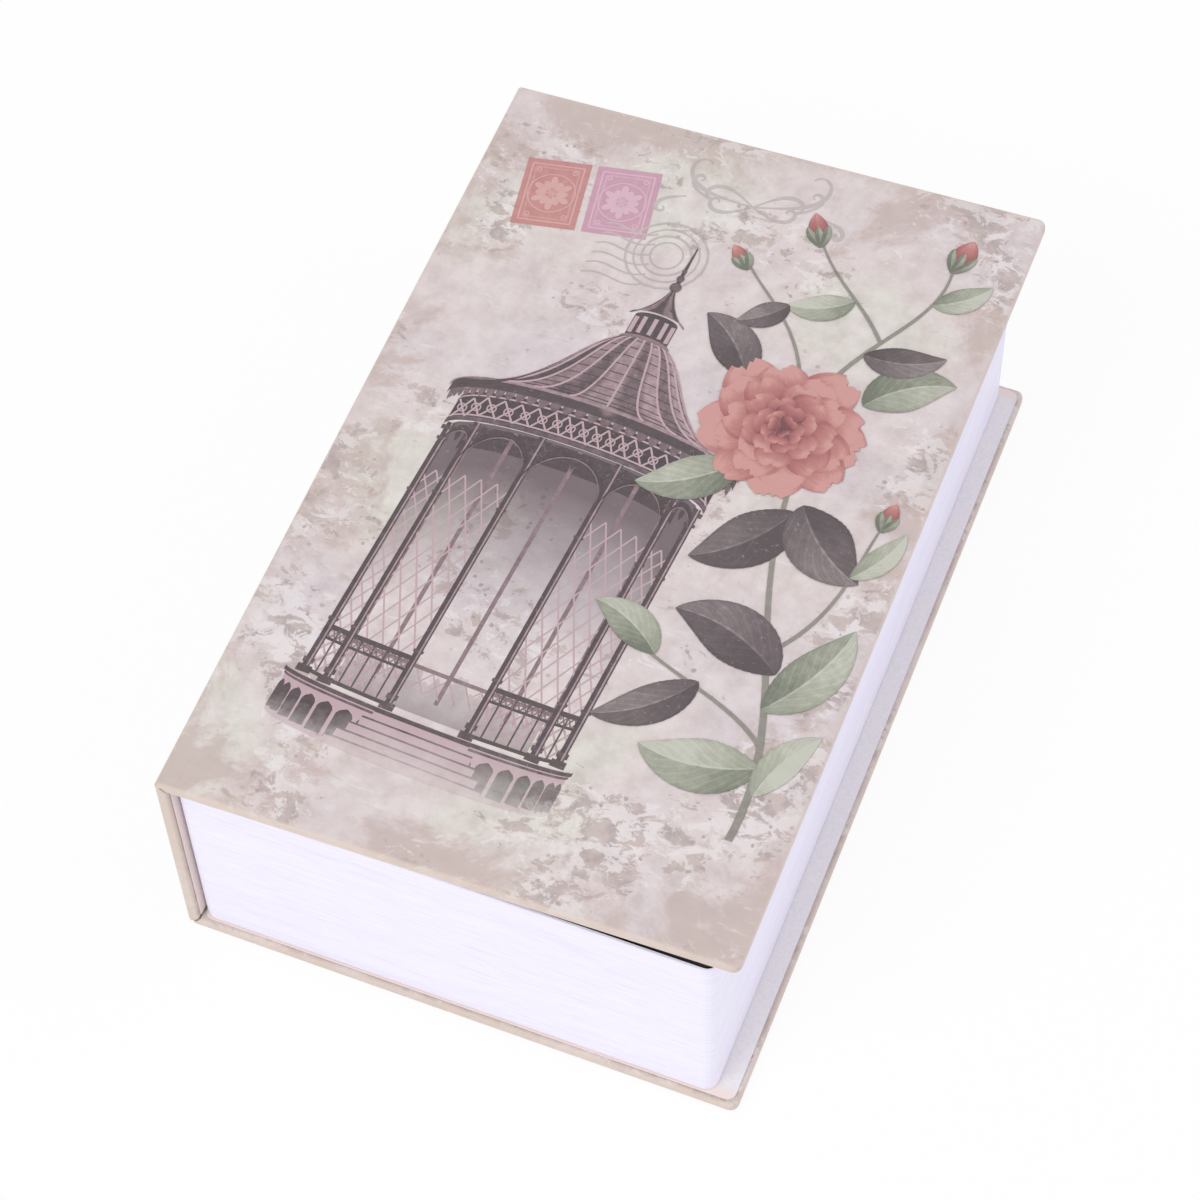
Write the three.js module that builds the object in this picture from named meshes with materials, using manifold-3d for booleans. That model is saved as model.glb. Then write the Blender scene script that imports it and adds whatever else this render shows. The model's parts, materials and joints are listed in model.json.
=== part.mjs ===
import * as THREE from 'three';
import { mergeVertices } from 'three/addons/utils/BufferGeometryUtils.js';
import Module from 'manifold-3d';

// A book-shaped cash box: a paper-covered case of boards round a moulded page block that holds a steel tray.
// X runs from the spine to the fore-edge, Y from tail to head, Z up from the table. Millimetres.

const wasm = await Module();
wasm.setup();

// Case boards: greyboard with its paper glued on, mitred where the paper folds
const bookWidth = 116;
const bookLength = 180;
const spineHeight = 56.2;
const boardThickness = 2.4;
const boardCornerRadius = 1.8;
const boardEdgeRadius = 0.6;
const footFoldRadius = 3;
const topFoldRadius = 1.2;
const foldGap = 0.5;
const endpaperThickness = 0.25;
const endpaperInset = 1;

// Page block: a white moulding with an open top
const spineToPages = 0.6;
const foreEdgeOverhang = 5;
const tailOverhang = 1.4;
const closedGap = 0.2;
const pageWall = 2.2;
const pageLip = 0.6;
const pageCornerRadius = 2.5;
const pageEdgeRadius = 0.3;
const pageFloor = 1.6;
const pageLedge = 12;
const pageInnerRadius = 1.5;

// Steel tray, its mat and the keeper for the latch
const trayWall = 0.8;
const trayCornerRadius = 3;
const trayBottomRadius = 2;
const matThickness = 1.5;
const matMargin = 1;
const keeperThickness = 1;
const keeperWidth = 9.4;
const keeperHeight = 11;
const keeperDrop = 5.6;
const keeperReach = 3.6;
const keeperBend = 0.5;
const keeperRivetRadius = 1.2;
const rivetHeadRadius = 2;
const rivetHeadHeight = 0.9;
const rivetLevelShare = 0.62;

// Steel lid with knuckles rolled from its sheet
const lidThickness = 1;
const lidCornerRadius = 1.6;
const hingePinRadius = 0.75;
const hingeEndInset = 1.5;
const hingeLeafHeight = 13;
const knuckleCount = 9;
const knuckleGap = 0.4;
const rollShare = 0.77;
const beadInset = 9;
const beadWidth = 3;
const beadDepth = 0.6;
const beadRadius = 5;
const beadSink = 0.05;
const beadToLock = 7;

// Combination lock: bezel above the lid, case below it, wheels on a shaft along Y
const lockFromEdge = 16;
const bezelWidth = 22;
const bezelHeight = 2.8;
const bezelCornerRadius = 3;
const bezelEdgeRadius = 1.2;
const wheelRadius = 8;
const wheelWidth = 5;
const wheelPitch = 8;
const wheelCount = 3;
const wheelRise = 4.1;
const wheelGrooveDepth = 0.6;
const wheelBevel = 0.4;
const firstWheelFromEnd = 9;
const wheelsToButton = 3.1;
const digitCount = 10;
const flatHalfShare = 0.38;
const shaftRadius = 1.5;
const shaftSeat = 1.4;
const caseWall = 1.6;
const caseHeight = 13.2;
const caseEdgeRadius = 0.9;
const earLength = 5;
const earThickness = 2;
const springThickness = 0.4;
const springStrapHeight = 3;
const springTipHeight = 1;
const springTipReach = 0.6;
const springBend = 0.15;
const springFingerShare = 0.6;
const screwRadius = 1.1;
const screwHeadRadius = 2.1;
const screwHeadHeight = 1.3;
const screwBite = 1.8;
const screwFromSide = 4.5;

// Latch: a sliding button, its hook and the guide under the lid
const latchTravel = 7;
const buttonLength = 8;
const buttonWidth = 8;
const buttonProud = 0.6;
const buttonRecess = 1.2;
const buttonRidges = 3;
const ridgeWidth = 0.7;
const ridgeDepth = 0.35;
const buttonEndMargin = 5.6;
const postLength = 4;
const postWidth = 3.4;
const hookThickness = 1.2;
const hookWidth = 6;
const hookBend = 0.4;
const hookFootLength = 5.2;
const hookBack = 5.6;
const hookPlayUnderLip = 0.4;
const hookSwingGap = 0.7;
const latchRivetRadius = 0.8;
const guideThickness = 0.8;
const guideLip = 3;
const guideBend = 0.3;
const guideFoot = 6;

// Clearances: glued faces, seated faces, a pin in its bore, a sliding fit, and the overrun of cuts
const glueGap = 0.1;
const seatGap = 0.3;
const boreGap = 0.08;
const slideGap = 0.4;
const overrun = 2;
const weldDistance = 0.0001;
const smallestRadius = 0.05;

// Resolution
const quarterTurn = Math.PI / 2;
const cornerSteps = 5;
const edgeSteps = 3;
const roundSides = 20;
const bendSteps = 4;
const rollSteps = 16;

// Places worked out from the sizes above
const spineX = -bookWidth / 2;
const spineInnerX = spineX + boardThickness;
const pageBox = {
  x0: spineInnerX + spineToPages,
  x1: bookWidth / 2 - foreEdgeOverhang,
  y0: -bookLength / 2 + tailOverhang,
  y1: bookLength / 2 - tailOverhang,
};
const pageTop = spineHeight - boardThickness - closedGap;
const pageBottom = boardThickness + endpaperThickness + 2 * glueGap;
const lidTop = pageTop;
const lidUnder = lidTop - lidThickness;
const flangeTop = lidUnder - seatGap;
const flangeUnder = flangeTop - trayWall;
const rebateFloor = flangeUnder - seatGap;
const trayOuter = inset(pageBox, pageWall + seatGap);
const trayInner = inset(trayOuter, trayWall);
const flangeBox = inset(pageBox, pageLip + seatGap);
const trayBottom = pageBottom + pageFloor + seatGap;
const matBottom = trayBottom + trayWall + glueGap;
const boreRadius = hingePinRadius + boreGap;
const knuckleRadius = boreRadius + lidThickness;
const hinge = { x: trayInner.x0 + seatGap + knuckleRadius, z: lidTop - knuckleRadius };
const hingeSpan = { y0: trayInner.y0 + hingeEndInset, y1: trayInner.y1 - hingeEndInset };
const lidBox = { ...flangeBox, x0: hinge.x + knuckleRadius + knuckleGap };
const lockX = flangeBox.x1 - lockFromEdge;
const pocketHalf = wheelWidth / 2 + slideGap;
const wheelStack = firstWheelFromEnd + (wheelCount - 1) * wheelPitch + pocketHalf + caseWall;
const recessLength = buttonLength + latchTravel + 2 * slideGap;
const bezelLength = wheelStack + wheelsToButton + recessLength + buttonEndMargin;
const bezel = {
  x0: lockX - bezelWidth / 2, x1: lockX + bezelWidth / 2, y0: -bezelLength / 2, y1: bezelLength / 2,
};
const bezelUnder = lidTop + seatGap;
const bezelTop = bezelUnder + bezelHeight;
const wheelTop = lidTop + wheelRise;
const wheelZ = wheelTop - wheelRadius;
const wheelYs = Array.from({ length: wheelCount }, (_, i) => bezel.y0 + firstWheelFromEnd + i * wheelPitch);
const caseTop = lidUnder - seatGap;
const caseBottom = caseTop - caseHeight;
const neck = {
  x0: lockX - wheelRadius - slideGap - caseWall,
  x1: lockX + wheelRadius + slideGap + springThickness + 2 * slideGap + caseWall,
  y0: wheelYs[0] - pocketHalf - caseWall,
  y1: wheelYs[wheelCount - 1] + pocketHalf + caseWall,
};
const recessY0 = bezel.y1 - buttonEndMargin - recessLength;
const buttonY = recessY0 + slideGap + buttonLength / 2;
const slotHalf = postWidth / 2 + slideGap;
const slotY0 = buttonY - postLength / 2 - slideGap;
const slotY1 = slotY0 + postLength + latchTravel + 2 * slideGap;
const recessFloor = bezelTop - buttonRecess;
const hookTop = lidUnder - seatGap - slideGap;
const keeperX = trayInner.x1 - seatGap;
const keeperTop = flangeUnder - keeperDrop;
const keeperY0 = buttonY + hookWidth / 2 + latchTravel / 3;
const hookLegX1 = keeperX - keeperThickness - keeperReach - hookSwingGap;
const foldInset = (radius) => radius - radius / Math.SQRT2;
const topPivot = { x: spineX + foldInset(topFoldRadius), z: spineHeight - foldInset(topFoldRadius) };
const footPivot = { x: spineX + foldInset(footFoldRadius), z: foldInset(footFoldRadius) };
const linerDepth = boardThickness + glueGap + endpaperThickness;
const coverAjar = ajarAngle();

// The cover leans on the number wheels, so their height sets how far it stands open
function ajarAngle() {
  const across = lockX - topPivot.x;
  const up = wheelTop + seatGap - topPivot.z;
  const under = linerDepth - foldInset(topFoldRadius);
  return Math.atan2(up, across) + Math.asin(under / Math.hypot(across, up));
}

// Plan rectangle drawn in by one distance on every side
function inset(box, distance) {
  return { x0: box.x0 + distance, x1: box.x1 - distance, y0: box.y0 + distance, y1: box.y1 - distance };
}

// Closed outline of a rectangle with rounded corners, with the same number of points at every size
function roundedOutline(box, radius) {
  const r = Math.max(radius, smallestRadius);
  const corners = [
    [box.x1 - r, box.y0 + r, -quarterTurn],
    [box.x1 - r, box.y1 - r, 0],
    [box.x0 + r, box.y1 - r, quarterTurn],
    [box.x0 + r, box.y0 + r, 2 * quarterTurn],
  ];
  return corners.flatMap(([x, y, start]) => arcPoints(x, y, r, start, start + quarterTurn, cornerSteps));
}

// Points along an arc, both ends included
function arcPoints(x, y, radius, from, to, steps) {
  return Array.from({ length: steps + 1 }, (_, i) => {
    const angle = from + (to - from) * i / steps;
    return new THREE.Vector2(x + radius * Math.cos(angle), y + radius * Math.sin(angle));
  });
}

// Closed solid of a three.js geometry
function solidOf(geometry) {
  for (const name of Object.keys(geometry.attributes)) {
    if (name !== 'position') geometry.deleteAttribute(name);
  }
  const merged = mergeVertices(geometry, weldDistance);
  const mesh = new wasm.Mesh({
    numProp: 3,
    vertProperties: Float32Array.from(merged.attributes.position.array),
    triVerts: Uint32Array.from(merged.index.array),
  });
  return new wasm.Manifold(mesh);
}

// Solid through a stack of convex outlines with equal point counts, closed at both ends
function stack(rings) {
  const count = rings[0].outline.length;
  const positions = rings.flatMap(({ outline, z }) => outline.flatMap((point) => [point.x, point.y, z]));
  const index = [];
  const last = (rings.length - 1) * count;
  for (let i = 1; i < count - 1; i += 1) {
    index.push(0, i + 1, i, last, last + i, last + i + 1);
  }
  for (let level = 0; level < rings.length - 1; level += 1) {
    for (let i = 0; i < count; i += 1) {
      const a = level * count + i;
      const b = level * count + (i + 1) % count;
      index.push(a, b, b + count, a, b + count, a + count);
    }
  }
  const geometry = new THREE.BufferGeometry();
  geometry.setAttribute('position', new THREE.Float32BufferAttribute(positions, 3));
  geometry.setIndex(index);
  return solidOf(geometry);
}

// Slab with rounded corners in plan and rounded top and bottom edges
function slab(box, z0, z1, cornerRadius = 0, topEdge = 0, bottomEdge = 0) {
  const rings = [];
  const ring = (edge, angle, z) => {
    const inward = edge * (1 - Math.sin(angle));
    rings.push({ outline: roundedOutline(inset(box, inward), cornerRadius - inward), z });
  };
  for (let i = 0; i <= edgeSteps && bottomEdge > 0; i += 1) {
    const angle = quarterTurn * i / edgeSteps;
    ring(bottomEdge, angle, z0 + bottomEdge * (1 - Math.cos(angle)));
  }
  if (bottomEdge === 0) ring(0, quarterTurn, z0);
  if (topEdge === 0) ring(0, quarterTurn, z1);
  for (let i = edgeSteps; i >= 0 && topEdge > 0; i -= 1) {
    const angle = quarterTurn * i / edgeSteps;
    ring(topEdge, angle, z1 - topEdge * (1 - Math.cos(angle)));
  }
  return stack(rings);
}

// Plain box between two corners
function block(x0, x1, y0, y1, z0, z1) {
  const geometry = new THREE.BoxGeometry(x1 - x0, y1 - y0, z1 - z0);
  geometry.translate((x0 + x1) / 2, (y0 + y1) / 2, (z0 + z1) / 2);
  return solidOf(geometry);
}

// Profile in X and Z carried along Y
function alongY(points, y0, y1) {
  const shape = new THREE.Shape(points);
  const geometry = new THREE.ExtrudeGeometry(shape, { depth: y1 - y0, bevelEnabled: false });
  geometry.rotateX(quarterTurn);
  geometry.translate(0, y1, 0);
  return solidOf(geometry);
}

// Round bar along Y
function barY(radius, x, z, y0, y1) {
  const geometry = new THREE.CylinderGeometry(radius, radius, y1 - y0, roundSides);
  geometry.translate(x, (y0 + y1) / 2, z);
  return solidOf(geometry);
}

// Round bar along Z
function barZ(radius, x, y, z0, z1) {
  const geometry = new THREE.CylinderGeometry(radius, radius, z1 - z0, roundSides);
  geometry.rotateX(quarterTurn);
  geometry.translate(x, y, (z0 + z1) / 2);
  return solidOf(geometry);
}

// Turned piece with a domed head and a plain shank, head down, standing along Z from the head's seat
function studProfile(headRadius, headHeight, shankRadius, shankLength) {
  const dome = arcPoints(0, 0, 1, -quarterTurn, 0, cornerSteps);
  return [
    ...dome.map((point) => new THREE.Vector2(point.x * headRadius, point.y * headHeight)),
    new THREE.Vector2(shankRadius, 0),
    new THREE.Vector2(shankRadius, shankLength),
    new THREE.Vector2(0, shankLength),
  ];
}

function studUp(x, y, seat, headRadius, headHeight, shankRadius, shankLength) {
  const profile = studProfile(headRadius, headHeight, shankRadius, shankLength);
  const geometry = new THREE.LatheGeometry(profile, roundSides);
  geometry.rotateX(quarterTurn);
  geometry.translate(x, y, seat);
  return solidOf(geometry);
}

// Sheet metal: its middle line, a list of points with their directions, given half the thickness on each side
function sheetAlong(line, thickness, y0, y1) {
  const side = (sign) => line.map(({ point, along }) => new THREE.Vector2(
    point.x - sign * along.y * thickness / 2,
    point.y + sign * along.x * thickness / 2,
  ));
  return alongY([...side(1), ...side(-1).reverse()], y0, y1);
}

// Middle line turned about a centre from one of its points
function turned(start, along, centre, turn, steps) {
  const origin = new THREE.Vector2();
  return Array.from({ length: steps + 1 }, (_, i) => ({
    point: start.clone().rotateAround(centre, turn * i / steps),
    along: along.clone().rotateAround(origin, turn * i / steps),
  }));
}

// Strip folded at each corner of a path in X and Z, with a bend radius
function bentStrip(path, thickness, insideRadius, y0, y1) {
  const corners = path.map(([x, z]) => new THREE.Vector2(x, z));
  const radius = insideRadius + thickness / 2;
  const line = corners.flatMap((corner, i) => {
    const into = i > 0 ? corner.clone().sub(corners[i - 1]).normalize() : null;
    const out = i < corners.length - 1 ? corners[i + 1].clone().sub(corner).normalize() : null;
    if (!into || !out) return [{ point: corner, along: into || out }];
    const turn = Math.atan2(into.cross(out), into.dot(out));
    const start = corner.clone().addScaledVector(into, -radius * Math.tan(Math.abs(turn) / 2));
    const inward = new THREE.Vector2(-into.y, into.x).multiplyScalar(Math.sign(turn) * radius);
    return turned(start, into, start.clone().add(inward), turn, bendSteps);
  });
  return sheetAlong(line, thickness, y0, y1);
}

// Knuckle rolled round the pin from a strip that starts at one point and meets the roll at another
function rolledKnuckle(from, meets, sense, { y0, y1 }) {
  const along = meets.clone().sub(from).normalize();
  const centre = new THREE.Vector2(hinge.x, hinge.z);
  const turn = sense * 2 * Math.PI * rollShare;
  const line = [{ point: from, along }, ...turned(meets, along, centre, turn, rollSteps)];
  return sheetAlong(line, lidThickness, y0, y1);
}

// Cut along a fold's mitre line, so that two boards meet with a thin gap
function foldSlot(pivot, turnX, turnZ) {
  const reach = boardThickness * 2;
  const half = foldGap / 2 / Math.SQRT2;
  const ends = [[-reach * turnX, -reach * turnZ], [reach * turnX, reach * turnZ]];
  const side = [-turnZ * half, turnX * half];
  const points = [
    [ends[0][0] - side[0], ends[0][1] - side[1]],
    [ends[1][0] - side[0], ends[1][1] - side[1]],
    [ends[1][0] + side[0], ends[1][1] + side[1]],
    [ends[0][0] + side[0], ends[0][1] + side[1]],
  ].map(([x, z]) => new THREE.Vector2(pivot.x + x, pivot.z + z));
  return alongY(points, -bookLength, bookLength);
}

// Front board in its own frame, closed: the fold's pivot line at X = Z = 0, the board towards +X
function frontBoard() {
  const edge = foldInset(topFoldRadius);
  const centre = topFoldRadius - edge;
  const profile = [
    ...arcPoints(centre, -centre, topFoldRadius, quarterTurn, quarterTurn * 1.5, cornerSteps),
    new THREE.Vector2(boardThickness - edge, edge - boardThickness),
    new THREE.Vector2(bookWidth, edge - boardThickness),
    new THREE.Vector2(bookWidth, edge),
  ];
  const plan = {
    x0: -bookWidth, x1: bookWidth - edge, y0: -bookLength / 2, y1: bookLength / 2,
  };
  return slab(plan, edge - boardThickness, edge, boardCornerRadius, boardEdgeRadius, boardEdgeRadius)
    .intersect(alongY(profile, -bookLength, bookLength))
    .subtract(foldSlot({ x: 0, z: 0 }, 1, -1));
}

function frontEndpaper() {
  const edge = foldInset(topFoldRadius);
  const sheet = inset({
    x0: boardThickness - edge, x1: bookWidth - edge, y0: -bookLength / 2, y1: bookLength / 2,
  }, endpaperInset);
  return slab(sheet, edge - linerDepth, edge - boardThickness - glueGap, boardCornerRadius);
}

function backBoard() {
  const foldX = spineX + footFoldRadius;
  const profile = [
    ...arcPoints(foldX, footFoldRadius, footFoldRadius, -quarterTurn * 1.5, -quarterTurn, cornerSteps),
    new THREE.Vector2(bookWidth, 0),
    new THREE.Vector2(bookWidth, boardThickness),
    new THREE.Vector2(spineInnerX, boardThickness),
  ];
  const plan = { x0: -bookWidth, x1: bookWidth / 2, y0: -bookLength / 2, y1: bookLength / 2 };
  return slab(plan, 0, boardThickness, boardCornerRadius, boardEdgeRadius, boardEdgeRadius)
    .intersect(alongY(profile, -bookLength, bookLength))
    .subtract(foldSlot(footPivot, 1, 1));
}

function backEndpaper() {
  const board = { x0: spineInnerX, x1: bookWidth / 2, y0: -bookLength / 2, y1: bookLength / 2 };
  const sheet = inset(board, endpaperInset);
  const z0 = boardThickness + glueGap;
  return slab({ ...sheet, x0: pageBox.x0 }, z0, z0 + endpaperThickness, boardCornerRadius);
}

function spineBoard() {
  const profile = [
    ...arcPoints(spineX + topFoldRadius, spineHeight - topFoldRadius, topFoldRadius,
      quarterTurn * 1.5, quarterTurn * 2, cornerSteps),
    ...arcPoints(spineX + footFoldRadius, footFoldRadius, footFoldRadius,
      quarterTurn * 2, quarterTurn * 2.5, cornerSteps),
    new THREE.Vector2(spineInnerX, boardThickness),
    new THREE.Vector2(spineInnerX, spineHeight - boardThickness),
  ];
  const ends = { x0: spineX, x1: spineInnerX, y0: -bookLength / 2, y1: bookLength / 2 };
  return slab(ends, -overrun, spineHeight + overrun, boardEdgeRadius)
    .intersect(alongY(profile, -bookLength, bookLength))
    .subtract(foldSlot(topPivot, 1, -1))
    .subtract(foldSlot(footPivot, 1, 1));
}

function spineLining() {
  const x0 = spineInnerX + glueGap;
  const edge = bookLength / 2 - endpaperInset;
  return block(x0, x0 + endpaperThickness, -edge, edge, boardThickness + endpaperInset,
    spineHeight - boardThickness - endpaperInset);
}

// Page block: walls with a rebate at the top for the tray's flange, and a floor ledge glued to the back board
function pageFrame() {
  const inner = inset(pageBox, pageWall);
  const ledge = inset(inner, pageLedge);
  return slab(pageBox, pageBottom, pageTop, pageCornerRadius, pageEdgeRadius)
    .subtract(slab(inner, pageBottom + pageFloor, pageTop + overrun, pageInnerRadius))
    .subtract(slab(inset(pageBox, pageLip), rebateFloor, pageTop + overrun, pageCornerRadius - pageLip))
    .subtract(slab(ledge, pageBottom - overrun, pageTop, pageCornerRadius));
}

// Drawn steel tray with a flange that lies in the page block's rebate
function tray() {
  const shell = slab(trayOuter, trayBottom, flangeTop, trayCornerRadius, 0, trayBottomRadius)
    .add(slab(flangeBox, flangeUnder, flangeTop, lidCornerRadius));
  const hollow = slab(trayInner, trayBottom + trayWall, flangeTop + overrun,
    trayCornerRadius - trayWall, 0, trayBottomRadius - trayWall);
  return keeperRivetPlaces().reduce(
    (solid, place) => solid.subtract(rivetHole(place, keeperX, trayOuter.x1)),
    shell.subtract(hollow),
  );
}

function trayMat() {
  return slab(inset(trayInner, matMargin), matBottom, matBottom + matThickness, trayCornerRadius - matMargin);
}

// Keeper: an angle on the tray's fore-edge wall whose lip holds the latch's hook down
function keeper() {
  const x = keeperX - keeperThickness / 2;
  const z = keeperTop - keeperThickness / 2;
  const path = [[x, keeperTop - keeperHeight], [x, z], [keeperX - keeperThickness - keeperReach, z]];
  return keeperRivetPlaces().reduce(
    (solid, place) => solid.subtract(rivetHole(place, keeperX - keeperThickness, keeperX)),
    bentStrip(path, keeperThickness, keeperBend, keeperY0, keeperY0 + keeperWidth),
  );
}

function keeperRivetPlaces() {
  const y = keeperY0 + keeperWidth / 2;
  const spread = keeperWidth / 4;
  return [-1, 1].map((side) => ({ y: y + side * spread, z: keeperTop - keeperHeight * rivetLevelShare }));
}

function rivetHole({ y, z }, x0, x1) {
  const geometry = new THREE.CylinderGeometry(keeperRivetRadius + glueGap, keeperRivetRadius + glueGap,
    x1 - x0 + 2 * overrun, roundSides);
  geometry.rotateZ(quarterTurn);
  geometry.translate((x0 + x1) / 2, y, z);
  return solidOf(geometry);
}

function keeperRivet({ y, z }) {
  const length = trayOuter.x1 - keeperX + keeperThickness + seatGap;
  const profile = studProfile(rivetHeadRadius, rivetHeadHeight, keeperRivetRadius, length);
  const geometry = new THREE.LatheGeometry(profile, roundSides);
  geometry.rotateZ(-quarterTurn);
  geometry.translate(trayOuter.x1 - length, y, z);
  return solidOf(geometry);
}

// Knuckles along the hinge: even places belong to the tray's leaf, odd ones to the lid
function knuckleSpans(odd) {
  const pitch = (hingeSpan.y1 - hingeSpan.y0) / knuckleCount;
  const spans = Array.from({ length: knuckleCount }, (_, i) => ({
    y0: hingeSpan.y0 + i * pitch + knuckleGap / 2,
    y1: hingeSpan.y0 + (i + 1) * pitch - knuckleGap / 2,
  }));
  return spans.filter((_, i) => i % 2 === odd);
}

function hingeLeaf() {
  const x0 = hinge.x - knuckleRadius;
  const foot = hinge.z - hingeLeafHeight;
  const leafTop = hinge.z - knuckleRadius - knuckleGap;
  const leaf = block(x0, x0 + lidThickness, hingeSpan.y0, hingeSpan.y1, foot, leafTop);
  const middle = x0 + lidThickness / 2;
  const from = new THREE.Vector2(middle, foot);
  const meets = new THREE.Vector2(middle, hinge.z);
  return knuckleSpans(0).reduce((whole, span) => whole.add(rolledKnuckle(from, meets, -1, span)), leaf);
}

function hingePin() {
  return barY(hingePinRadius, hinge.x, hinge.z, hingeSpan.y0 - hingePinRadius, hingeSpan.y1 + hingePinRadius);
}

// Steel lid: a sheet with a pressed bead, knuckles rolled from its edge and openings for the lock
function lidPlate() {
  const z0 = lidUnder - overrun;
  const z1 = lidTop + overrun;
  const middle = lidTop - lidThickness / 2;
  const from = new THREE.Vector2(lidBox.x0 + lidThickness, middle);
  const meets = new THREE.Vector2(hinge.x, middle);
  const rolled = knuckleSpans(1).reduce(
    (whole, span) => whole.add(rolledKnuckle(from, meets, 1, span)),
    slab(lidBox, lidUnder, lidTop, lidCornerRadius),
  );
  const opened = rolled
    .subtract(slab(inset(neck, caseWall - slideGap), z0, z1))
    .subtract(block(lockX - slotHalf, lockX + slotHalf, slotY0, slotY1, z0, z1));
  return lockScrewPlaces().reduce(
    (solid, { x, y }) => solid.subtract(barZ(screwRadius + boreGap, x, y, z0, z1)),
    pressBead(opened),
  );
}

// Bead: a groove pressed from above that stands proud below
function pressBead(sheet) {
  const line = { ...inset(lidBox, beadInset), x1: bezel.x0 - beadToLock };
  const groove = beadWidth / 2;
  const ridge = groove + beadDepth;
  const frustum = (low, high, z0, z1) => stack([
    { outline: roundedOutline(inset(line, low), beadRadius - low), z: z0 },
    { outline: roundedOutline(inset(line, high), beadRadius - high), z: z1 },
  ]);
  const band = (low, high, z0, z1) => frustum(-low, -high, z0, z1).subtract(frustum(low, high, z0, z1));
  return sheet
    .add(band(groove, ridge, lidUnder - beadDepth, lidUnder + beadSink))
    .subtract(band(groove - beadDepth, groove, lidTop - beadDepth, lidTop));
}

// Screws that hold the bezel: two through the case's ear, two through the lid beside the latch
function lockScrewPlaces() {
  const rows = [
    { y: neck.y0 - earLength / 2, seat: caseTop - earThickness },
    { y: bezel.y1 - earLength / 2, seat: lidUnder },
  ];
  const columns = [bezel.x0 + screwFromSide, bezel.x1 - screwFromSide];
  return rows.flatMap((row) => columns.map((x) => ({ x, ...row })));
}

function lockScrew({ x, y, seat }) {
  const foot = seat - seatGap;
  return studUp(x, y, foot, screwHeadRadius, screwHeadHeight, screwRadius, bezelUnder + screwBite - foot);
}

function lockBezel() {
  const top = slab(bezel, bezelUnder, bezelTop, bezelCornerRadius, bezelEdgeRadius);
  const withWheels = wheelYs.reduce((solid, y) => solid.subtract(
    barY(wheelRadius + slideGap, lockX, wheelZ, y - pocketHalf, y + pocketHalf),
  ), top);
  const half = buttonWidth / 2 + slideGap;
  const recess = { x0: lockX - half, x1: lockX + half, y0: recessY0, y1: recessY0 + recessLength };
  const slot = { x0: lockX - slotHalf, x1: lockX + slotHalf, y0: slotY0, y1: slotY1 };
  const opened = withWheels
    .subtract(slab(recess, recessFloor, bezelTop + overrun, smallestRadius))
    .subtract(slab(slot, bezelUnder - overrun, bezelTop, smallestRadius));
  return lockScrewPlaces().reduce((solid, { x, y }) => solid.subtract(
    barZ(screwRadius + boreGap, x, y, bezelUnder - overrun, bezelUnder + screwBite + glueGap),
  ), opened);
}

// Case under the lid: a pocket for each wheel, ribs that carry the shaft, a channel for the detent spring
function lockCase() {
  const ear = { x0: neck.x0, x1: neck.x1, y0: neck.y0 - earLength, y1: neck.y1 };
  const pocket = { x0: neck.x0 + caseWall, x1: lockX + wheelRadius + slideGap };
  const body = slab(neck, caseBottom, caseTop, bezelEdgeRadius, 0, caseEdgeRadius)
    .add(slab(ear, caseTop - earThickness, caseTop, bezelEdgeRadius));
  const pocketed = wheelYs.reduce((solid, y) => solid.subtract(
    block(pocket.x0, pocket.x1, y - pocketHalf, y + pocketHalf, caseBottom + caseWall, caseTop + overrun),
  ), body);
  const channel = block(pocket.x1 - glueGap, neck.x1 - caseWall, neck.y0 + caseWall, neck.y1 - caseWall,
    caseBottom + caseWall, caseTop + overrun);
  const seat = caseWall - shaftSeat;
  const bore = barY(shaftRadius + boreGap, lockX, wheelZ, neck.y0 + seat, neck.y1 - seat);
  return lockScrewPlaces().slice(0, 2).reduce(
    (solid, { x, y }) => solid.subtract(barZ(screwRadius + boreGap, x, y, caseBottom, caseTop + overrun)),
    pocketed.subtract(channel).subtract(bore),
  );
}

function wheelShaft() {
  const inward = caseWall - shaftSeat + seatGap;
  return barY(shaftRadius, lockX, wheelZ, neck.y0 + inward, neck.y1 - inward);
}

// Number wheel: ten flats with a grip groove between each two, bevelled sides and a bore
function numberWheel(y) {
  const step = 2 * Math.PI / digitCount;
  const flatHalf = step * flatHalfShare;
  const shape = new THREE.Shape(Array.from({ length: digitCount }, (_, i) => i * step).flatMap((angle) => [
    [angle - flatHalf, wheelRadius],
    [angle + flatHalf, wheelRadius],
    [angle + step / 2, wheelRadius - wheelGrooveDepth],
  ].map(([turn, radius]) => new THREE.Vector2(radius * Math.sin(turn), radius * Math.cos(turn)))));
  const geometry = new THREE.ExtrudeGeometry(shape, {
    depth: wheelWidth - 2 * wheelBevel,
    bevelThickness: wheelBevel,
    bevelSize: wheelBevel,
    bevelOffset: -wheelBevel,
    bevelSegments: 2,
  });
  geometry.rotateX(quarterTurn);
  geometry.translate(lockX, y + wheelWidth / 2 - wheelBevel, wheelZ);
  const bore = barY(shaftRadius + boreGap, lockX, wheelZ, y - wheelWidth, y + wheelWidth);
  return solidOf(geometry).subtract(bore);
}

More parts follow.
